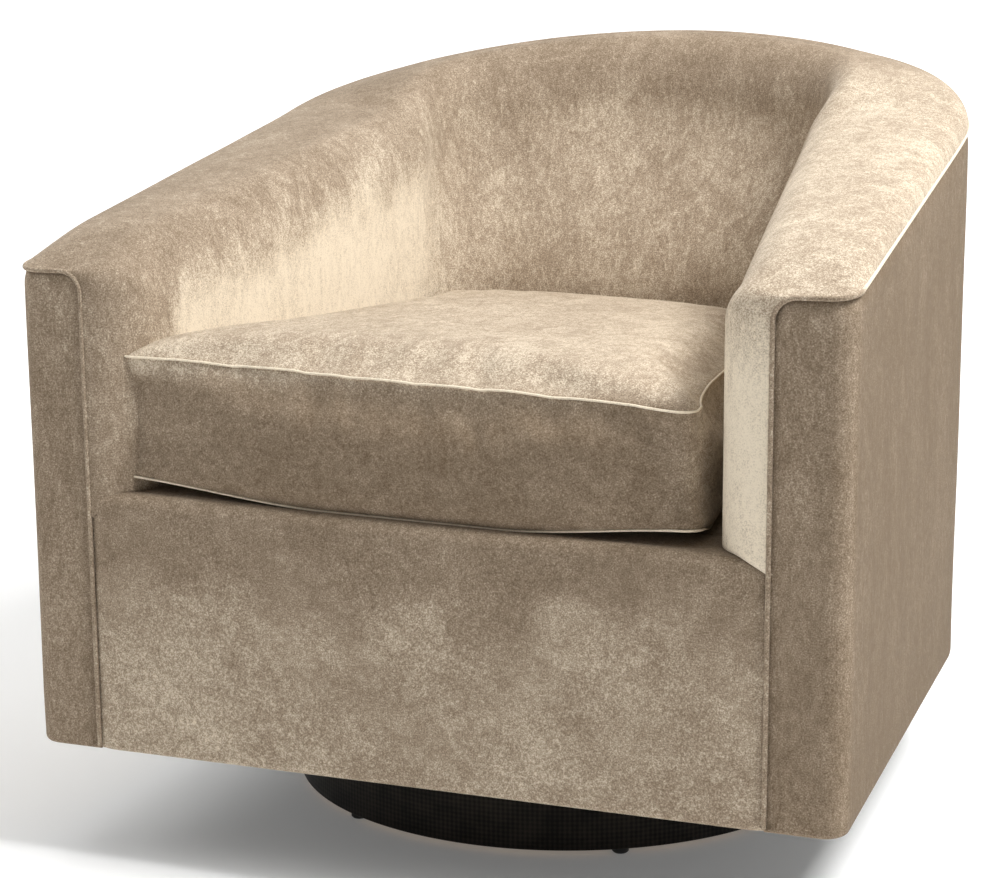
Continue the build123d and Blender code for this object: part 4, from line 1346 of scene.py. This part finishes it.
    def dress(self, piece: Piece, velvet: Velvet, node: str, fill: float, nap_and_painted_light: Array) -> Piece:
        """Gives an upholstered piece its velvet and its painted light and shade, and puts it in its solid's
        place.

        Args:
            piece: the piece.
            velvet: its finish.
            node: the frame's node that it stands for.
            fill: how full its padding is; not used.
            nap_and_painted_light: painted light and shade at each vertex.

        Returns:
            The piece, riding on the seat.
        """
        mark(piece, "nap_and_painted_light", nap_and_painted_light)
        piece.data.materials.append(velvet.material())
        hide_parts(node)
        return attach(piece, Body.SEAT.value)


@dataclass
class SeatCushion:
    """Loose boxed cushion: crowned top, boxing between two plain seams, and a zip along its back."""

    plan: TubPlan
    shift: float
    level: DeckLevel
    boxing: float = 0.128
    corner: float = 0.016
    bow: float = 0.004
    ease: float = -0.004
    hollow: float = 0.012
    start_crown: float = 0.001
    across: int = 76
    deep: int = 92
    tall: int = 15
    bottom_roll: float = 0.012
    pressure: float = 4.0
    cap: float = 0.022
    tilt: float = -0.016
    recline: float = -0.032
    corner_lift: float = 0.015
    left_drop: float = 0.008
    right_drop: float = 0.011
    left_spread: float = 0.040
    right_spread: float = 0.006
    right_tuck: float = 0.007
    front_run: float = 0.16
    left_squash: float = 0.016
    side_gap: float = 0.0012
    zip_reach: float = 0.22
    seam_radius: float = 0.0011

    @property
    def bottom(self) -> float:
        """Height of the underside before the deck settles."""
        return self.level.height + 0.0004

    @property
    def sewn(self) -> TubPlan:
        """Plan of the sewn cushion before it is filled."""
        return replace(self.plan.inset(self.ease), front=self.plan.front + self.ease)

    def half_outline(self) -> Array:
        """Right half of the sewn plan, from the middle of the front to the middle of the back.

        Returns:
            Points in plan.
        """
        plan = self.sewn
        turn = np.linspace(-math.pi / 2, plan.taper, 40)
        centre_y = plan.front + self.corner
        centre_x = plan.side_x(centre_y) - self.corner / math.cos(plan.taper)
        front_x = np.linspace(0.0, centre_x, 300)[:-1]
        front = np.column_stack((front_x, plan.front - self.bow * (1.0 - (front_x / centre_x) ** 2)))
        corner = (centre_x, centre_y) + self.corner * np.column_stack((np.cos(turn), np.sin(turn)))
        used = self.corner * (1.0 + math.sin(plan.taper)) / math.cos(plan.taper)
        run = np.linspace(plan.half_length - used, 0.0, 900)[1:]
        return np.concatenate((front, corner, plan.walk(run)[0]))

    def rim(self) -> Array:
        """The plan as a loop of points: front left to right, right side, back, left side.

        The four runs meet at the middles of the rounded corners, so a grid can be stretched between them.

        Returns:
            Points in plan, from the front left corner round by the right.
        """
        half = self.half_outline()
        run = np.concatenate(([0.0], np.cumsum(np.linalg.norm(np.diff(half, axis=0), axis=1))))
        plan = self.sewn
        front_end = plan.half_width - self.corner + 0.25 * math.pi * self.corner
        side_end = run[-1] - plan.back_radius * plan.back_turn - 0.5 * plan.corner_radius
        marks = np.concatenate((
            np.linspace(0.0, front_end, self.across // 2 + 1),
            np.linspace(front_end, side_end, self.deep + 1)[1:],
            np.linspace(side_end, run[-1], self.across // 2 + 1)[1:],
        ))
        right = np.stack([np.interp(marks, run, half[:, axis]) for axis in range(2)], axis=-1)
        left = right[-2:0:-1] * (-1.0, 1.0)
        loop = np.concatenate((right, left))
        return np.roll(loop, self.across // 2, axis=0)

    def panel(self, rim: Array) -> Array:
        """A grid between the rim's four runs: opposite runs blended, and the corners taken off once.

        Args:
            rim: the rim's points.

        Returns:
            The grid's points in plan, row by row from the front.
        """
        a, d = self.across, self.deep
        front, right = rim[: a + 1], rim[a : a + d + 1]
        back = rim[a + d : 2 * a + d + 1][::-1]
        left = np.concatenate((rim[2 * a + d :], rim[:1]))[::-1]
        s = np.linspace(0.0, 1.0, a + 1)[None, :, None]
        t = np.linspace(0.0, 1.0, d + 1)[:, None, None]
        blended = (1 - t) * front[None] + t * back[None] + (1 - s) * left[:, None] + s * right[:, None]
        corners = (1 - s) * (1 - t) * front[0] + s * (1 - t) * front[-1]
        corners = corners + (1 - s) * t * back[0] + s * t * back[-1]
        return blended - corners

    def rim_numbers(self) -> Array:
        """Vertex numbers of a panel's rim, in the order of the rim's points."""
        number = np.arange((self.deep + 1) * (self.across + 1)).reshape(self.deep + 1, self.across + 1)
        return np.concatenate((number[0], number[1:, -1], number[-1, -2::-1], number[-2:0:-1, 0]))

    def start_shape(self) -> tuple[Piece, Array, Array]:
        """The sewn but unfilled cushion: a nearly flat top and bottom, joined by a slightly hollow boxing.

        Returns:
            The piece, and the vertex numbers of its upper and lower seams.
        """
        rim = self.rim()
        grid = self.panel(rim)
        flat = grid.reshape(-1, 2)
        number = np.arange(len(flat)).reshape(grid.shape[:2])
        inset = np.minimum(-self.sewn.outside_by(flat), flat[:, 1] - self.sewn.front + self.bow)
        crown = self.start_crown * smooth(inset / 0.16)
        top = np.column_stack((flat, self.bottom + self.boxing + crown))
        out = flat - CUSHION_MIDDLE
        draw = 1.0 - self.bottom_roll * (1.0 - smooth(inset / 0.10)) / np.linalg.norm(out, axis=1).clip(0.1)
        bottom = np.column_stack((out * draw[:, None] + CUSHION_MIDDLE, np.full(len(flat), self.bottom)))
        upper = self.rim_numbers()
        lower = upper + len(flat)
        share = np.linspace(0.0, 1.0, self.tall + 1)[1:-1, None, None]
        sides = top[upper][None] * (1.0 - share) + bottom[upper][None] * share
        inward = np.array(CUSHION_MIDDLE) - rim
        inward /= np.linalg.norm(inward, axis=1, keepdims=True)
        sides[..., :2] += self.hollow * np.sin(math.pi * share) * inward
        points = np.concatenate((top, bottom, sides.reshape(-1, 3)))
        points[:, 0] += self.shift
        ring = np.arange(len(upper))[None, :] + 2 * len(flat) + len(upper) * np.arange(self.tall - 1)[:, None]
        rings = np.concatenate((upper[None], ring, lower[None]))
        quads = sheet_quads(number)
        walls = grid_quads(rings[:-1], rings[1:])[:, (0, 3, 2, 1)]
        faces = np.concatenate((quads, quads[:, ::-1] + len(flat), walls))
        return mesh_object("seat_cushion", points, faces), upper, lower

    def fill(self, piece: Piece) -> None:
        """Fills the cushion by cloth simulation: even pressure for 20 frames, with the bottom's middle held.

        Args:
            piece: the sewn cushion; its vertices are moved by the cap at most.
        """
        start = vertices_of(piece)
        held = smooth((self.bottom + 0.004 - start[:, 2]) / 0.003)
        group = piece.vertex_groups.new(name="held")
        group.add(np.flatnonzero(held > 0.5).tolist(), 1.0, "REPLACE")
        cloth = piece.modifiers.new("filling", "CLOTH")
        for key, value in CLOTH.items():
            setattr(cloth.settings, key, value)
        cloth.settings.uniform_pressure_force = self.pressure
        cloth.settings.vertex_group_mass = group.name
        cloth.settings.effector_weights.gravity = 0.0
        cloth.point_cache.frame_start = 1
        cloth.point_cache.frame_end = FILL_FRAMES
        scene = bpy.context.scene
        for frame in range(1, FILL_FRAMES + 1):
            scene.frame_set(frame)
        filled = piece.evaluated_get(bpy.context.evaluated_depsgraph_get()).to_mesh()
        moved = np.empty(len(start) * 3)
        filled.vertices.foreach_get("co", moved)
        piece.evaluated_get(bpy.context.evaluated_depsgraph_get()).to_mesh_clear()
        step = moved.reshape(-1, 3) - start
        length = np.linalg.norm(step, axis=1, keepdims=True)
        step *= self.cap * np.tanh(length / self.cap) / np.maximum(length, 1e-9)
        piece.modifiers.remove(cloth)
        piece.vertex_groups.remove(group)
        scene.frame_set(1)
        piece.data.vertices.foreach_set("co", (start + step).ravel())
        piece.data.update()

    def settle(self, piece: Piece, cloth: Upholstery) -> None:
        """Settles the filled cushion between the arms.

        It follows the deck's level and leans a little right and back. Its front corners spread, drop at the
        top and draw up at the bottom, and its back lies flat along the zip. It keeps off the pad except at the
        left front corner, where it presses into it.

        Args:
            piece: the cushion.
            cloth: the upholstery round it.
        """
        places = vertices_of(piece)
        x = places[:, 0] - self.shift
        share = np.clip((places[:, 2] - self.bottom) / self.boxing, 0.0, 1.0)
        behind = places[:, 1] - self.plan.front
        at_front = smooth(1.0 - behind / self.front_run)
        at_corner = smooth((np.abs(x) - 0.08) / 0.18)
        places[:, 2] += self.level.settled(places[:, 0]) + share * (self.tilt * x + self.recline * behind)
        places[:, 2] += self.corner_lift * at_corner * smooth(1.0 - behind / 0.10) * (1.0 - share) ** 2
        places[:, 2] -= np.where(x < 0.0, self.left_drop, self.right_drop) * at_corner * at_front * share**2
        spread = np.where(x < 0.0, -self.left_spread, self.right_spread)
        places[:, 0] += spread * at_corner * at_front * (0.7 + 0.3 * np.sin(math.pi * share))
        places[:, 0] -= self.right_tuck * smooth((x - 0.19) / 0.06) * smooth(1.0 - behind / 0.045) * share**2
        flat = np.column_stack((x, places[:, 1]))
        along_zip = smooth((self.zip_reach - np.abs(x)) / 0.06) * smooth((behind - 0.45) / 0.1)
        on_side = smooth((self.plan.outside_by(flat) + 0.024) / 0.012) * np.sin(math.pi * share) ** 0.5
        places[:, 1] -= self.plan.outside_by(flat) * along_zip * on_side
        squash = np.where(x < 0.0, self.left_squash, 0.0) * at_corner * at_front - self.side_gap
        over = np.maximum(cloth.crowding(places[:, :2]) - squash, 0.0)
        out = places[:, :2] - CUSHION_MIDDLE
        places[:, :2] -= out / np.linalg.norm(out, axis=1, keepdims=True).clip(0.05) * over[:, None]
        piece.data.vertices.foreach_set("co", places.ravel())
        piece.data.update()

    def seams(self, places: Array, numbers: Array, name: str, velvet: Material) -> Piece:
        """A fine raised line of turned-in cloth along one seam.

        Args:
            places: the cushion's vertices.
            numbers: numbers of those along the seam.
            name: name of the piece.
            velvet: the cushion's material.

        Returns:
            The piece, riding on the cushion.
        """
        path = resample(places[numbers], 900, closed=True)
        piece = sweep(name, path, self.seam_radius, 6, closed=True)
        # painted highlight: the seam lines are lighter all along
        mark(piece, "nap_and_painted_light", np.full(len(piece.data.vertices), 0.45))
        piece.data.materials.append(velvet)
        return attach(piece, Body.CUSHION.value)

    def nap_and_painted_light(self, places: Array) -> Array:
        """Painted light and shade on the cushion: painted shade on the front of the boxing, painted light on
        the front and left end of the top.

        Args:
            places: the piece's vertices.

        Returns:
            Painted light and shade at each vertex, to be added to the noise.
        """
        x, y, z = places.T
        front = smooth((self.plan.front + 0.03 - y) / 0.03) * smooth((self.bottom + self.boxing - z) / 0.02)
        left = smooth((-x - 0.05) / 0.3)
        # painted shade on the boxing's front, painted light towards the left
        return 0.06 - 0.31 * front + 0.06 * left * smooth((0.1 - y) / 0.4)

    def build(self, cloth: Upholstery, velvet: Velvet) -> list[Piece]:
        """Makes the cushion and its seams.

        Args:
            cloth: the upholstery round it.
            velvet: its finish.

        Returns:
            The pieces, riding on the cushion's body.
        """
        piece, upper, lower = self.start_shape()
        self.fill(piece)
        self.settle(piece, cloth)
        places = vertices_of(piece)
        mark(piece, "nap_and_painted_light", self.nap_and_painted_light(places))
        finish = velvet.material()
        piece.data.materials.append(finish)
        rounding = piece.modifiers.new("rounding", "SUBSURF")
        rounding.levels = 1
        rounding.render_levels = 1
        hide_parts("cushion_cover", "cushion_core")
        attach(piece, Body.CUSHION.value)
        seams = (("cushion_seam_top", upper), ("cushion_seam_bottom", lower))
        return [piece] + [self.seams(places, numbers, name, finish) for name, numbers in seams]


@dataclass
class Plinth:
    """Low round plinth wrapped in dark cloth."""

    radius: float
    foot: float
    top: float
    edge: float = 0.004
    foot_edge: float = 0.0015
    turnover: float = 0.028
    cloth: float = 0.0014
    inner_step: float = 0.0012
    top_cloth: float = 0.0010
    ripple: float = 0.0012

    def build(self, cloth: Woven) -> Piece:
        """The cloth as a turned profile: up the drum, in over the top board, and back inside.

        Args:
            cloth: its finish.

        Returns:
            The piece, riding on the base.
        """
        turn = np.linspace(0.0, math.pi / 2, 8)
        foot_turn = np.linspace(-math.pi / 2, 0.0, 5)
        side = np.linspace(self.foot + self.foot_edge, self.top - self.edge, 14)[1:-1]
        inner = (self.turnover, self.turnover, self.cloth + self.inner_step, self.cloth)
        under = self.top - self.top_cloth
        radius = np.concatenate((
            self.radius - self.foot_edge + self.foot_edge * np.cos(foot_turn),
            np.full_like(side, self.radius),
            self.radius - self.edge * (1.0 - np.cos(turn)),
            self.radius - np.array(inner),
        ))
        height = np.concatenate((
            self.foot + self.foot_edge + self.foot_edge * np.sin(foot_turn),
            side,
            self.top - self.edge * (1.0 - np.sin(turn)),
            [self.top, under, under, self.foot],
        ))
        angle = np.linspace(0.0, 2.0 * np.pi, 256, endpoint=False)[:, None]
        ripple = 1.0 + self.ripple * np.sin(angle * 5.0 + 0.7) * np.sin(angle * 2.0)
        reach = radius * ripple
        rings = np.stack((reach * np.cos(angle), reach * np.sin(angle), height + 0.0 * angle), axis=-1)
        piece = tube("plinth_cloth", rings, closed=True)
        piece.data.materials.append(cloth.material())
        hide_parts("base_cover")
        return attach(piece, Body.BASE.value)


@dataclass
class HiddenFrame:
    """The frame, springs, swivel and plinth boards, which keep their own shapes and get their finishes."""

    nodes: dict[str, Piece]

    def dress(self, finishes: dict[str, Material], slots: dict[str, str]) -> int:
        """Gives each node that shows the finish of its material slot.

        Args:
            finishes: materials by slot.
            slots: slot of each node.

        Returns:
            The number of nodes dressed.
        """
        shown = [(name, piece) for name, piece in self.nodes.items() if not piece.hide_render]
        for name, piece in shown:
            piece.data.materials.clear()
            piece.data.materials.append(finishes[slots[name]])
        return len(shown)


@dataclass
class Studio:
    """Plain pale floor, soft light from above and the photograph's point of view."""

    place: Triple = (0.68969, -2.01838, 0.74796)
    yaw: float = math.radians(20.671)
    pitch: float = math.radians(10.678)
    roll: float = math.radians(-0.376)
    lens: float = 75.364
    sensor: float = 36.0
    reach: float = 60.0
    wall: float = 5.5
    wall_height: float = 6.0
    bend: float = 1.5

    def camera(self) -> Piece:
        """Camera turned by yaw, pitch and roll from looking straight back.

        Returns:
            The camera.
        """
        data = bpy.data.cameras.new("view")
        data.lens = self.lens
        data.sensor_width = self.sensor
        data.sensor_fit = "HORIZONTAL"
        level = math.cos(self.pitch)
        ahead = Vector((-math.sin(self.yaw) * level, math.cos(self.yaw) * level, -math.sin(self.pitch)))
        right = Vector((math.cos(self.yaw), math.sin(self.yaw), 0.0))
        up = right.cross(ahead)
        turned_right = right * math.cos(self.roll) + up * math.sin(self.roll)
        turned_up = up * math.cos(self.roll) - right * math.sin(self.roll)
        turn = Matrix((turned_right, turned_up, -ahead)).transposed()
        camera = bpy.data.objects.new("view", data)
        camera.matrix_world = Matrix.Translation(self.place) @ turn.to_4x4()
        bpy.context.scene.collection.objects.link(camera)
        bpy.context.scene.camera = camera
        return camera

    def lamp(self, name: str, place: Triple, aim: Triple, size: float, power: float) -> None:
        """A square soft light at a place, turned to an aim.

        Args:
            name: name of the light.
            place: where it stands.
            aim: where it points.
            size: length of its side.
            power: power in watts.
        """
        data = bpy.data.lights.new(name, "AREA")
        data.size = size
        data.energy = power
        lamp = bpy.data.objects.new(name, data)
        lamp.location = place
        lamp.rotation_mode = "QUATERNION"
        lamp.rotation_quaternion = (Vector(aim) - Vector(place)).to_track_quat("-Z", "Y")
        bpy.context.scene.collection.objects.link(lamp)

    def light(self) -> None:
        """Soft light from high on the right, weaker ones from the left and overhead, and an even surround."""
        self.lamp("key", (1.5, -0.35, 2.5), (-0.1, 0.0, 0.45), 0.8, 84.0)
        self.lamp("fill", (-2.0, -1.2, 1.9), (0.1, 0.0, 0.45), 1.2, 18.0)
        self.lamp("overhead", (0.0, 0.6, 4.2), (0.0, 0.6, 0.0), 5.0, 85.0)
        world = bpy.data.worlds.new("surround")
        world.use_nodes = True
        surround = world.node_tree.nodes["Background"]
        surround.inputs["Color"].default_value = (1.0, 0.99, 0.97, 1.0)
        surround.inputs["Strength"].default_value = 0.16
        bpy.context.scene.world = world
        bpy.context.scene.view_settings.view_transform = "Standard"

    def floor(self) -> Piece:
        """Large floor that curves up into a wall behind: a level run, a quarter circle and an upright.

        Returns:
            The floor, as part of the stage.
        """
        turn = np.linspace(0.0, math.pi / 2, 16)
        bend_y = self.wall - self.bend + self.bend * np.sin(turn)
        y = np.concatenate(([-self.reach, -6.0, 0.0, 3.0], bend_y, [self.wall]))
        z = np.concatenate((np.zeros(4), self.bend - self.bend * np.cos(turn), [self.wall_height])) - 0.0002
        x = np.array((-self.reach, -8.0, -4.0, 0.0, 4.0, 8.0, self.reach))
        points = np.stack(np.broadcast_arrays(x[:, None], y, z), axis=-1).reshape(-1, 3)
        number = np.arange(len(points)).reshape(len(x), len(y))
        floor = mesh_object("floor", points, sheet_quads(number.T))
        floor.data.materials.append(Paper("pale_floor").material())
        return floor


def main() -> None:
    """Loads the frame and builds the chair's pieces, class by class."""
    logging.basicConfig(level=logging.INFO, format="%(name)s: %(message)s")
    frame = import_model()
    low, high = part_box("outside_cover")
    level = DeckLevel(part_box("seat_deck")[1].z)
    tub = Tub()
    outside, inside = tub.outside(low, high), tub.inside(low, high)

    studio = Studio()
    studio.camera()
    studio.light()
    studio.floor()

    cloth = Upholstery(outside, inside, tub.seam(low.y), low.z, level)
    pieces = [
        cloth.inside_pad(Velvet("velvet_inside", Lay.UPRIGHT)),
        cloth.outside_cover(Velvet("velvet_outside", Lay.UPRIGHT, sheen=0.06)),
        cloth.front_panel(Velvet("velvet_front")),
        cloth.seat_deck(Velvet("velvet_deck")),
        cloth.welt(Velvet("velvet_welt")),
        cloth.dust_cover(Woven("black_cambric", (0.006, 0.006, 0.006), (0.022, 0.021, 0.020))),
    ]
    cushion_low, cushion_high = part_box("cushion_cover")
    cushion = SeatCushion(tub.cushion(inside), (cushion_low.x + cushion_high.x) / 2.0, level)
    pieces += cushion.build(cloth, Velvet("velvet_cushion", Lay.DEEP))

    plinth_low, plinth_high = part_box("base_cover")
    plinth = Plinth(plinth_high.x, plinth_low.z, plinth_high.z)
    pieces.append(plinth.build(Woven("plinth_cloth", (0.006, 0.005, 0.004), (0.034, 0.027, 0.020))))
    for piece in pieces:
        LOG.info("%s: %d faces", piece.name, len(piece.data.polygons))

    finishes = {
        "plywood": Timber("plywood", (0.62, 0.46, 0.29), (0.42, 0.28, 0.15), (12.0, 1.4, 12.0), layers=True),
        "hardwood": Timber("hardwood", (0.50, 0.33, 0.18), (0.30, 0.18, 0.09)),
        "zinc_steel": Metal("zinc_steel", (0.66, 0.66, 0.64), (0.40, 0.40, 0.39)),
        "zip_metal": Metal("zip_metal", (0.62, 0.48, 0.26), (0.36, 0.27, 0.13), 0.26),
        "nylon": Moulded("nylon", (0.010, 0.010, 0.010), (0.028, 0.028, 0.027)),
        "webbing": Woven("webbing", (0.34, 0.28, 0.19), (0.58, 0.51, 0.38), 300.0),
        "zip_tape": Woven("zip_tape", (0.16, 0.13, 0.09), (0.30, 0.25, 0.18), 700.0),
    }
    slots = {part["node"]: part["material_slot"] for part in frame["record"]["subparts"]}
    materials = {slot: finish.material() for slot, finish in finishes.items()}
    dressed = HiddenFrame(frame["nodes"]).dress(materials, slots)
    LOG.info("frame: %d nodes dressed", dressed)


if __name__ == "__main__":
    main()
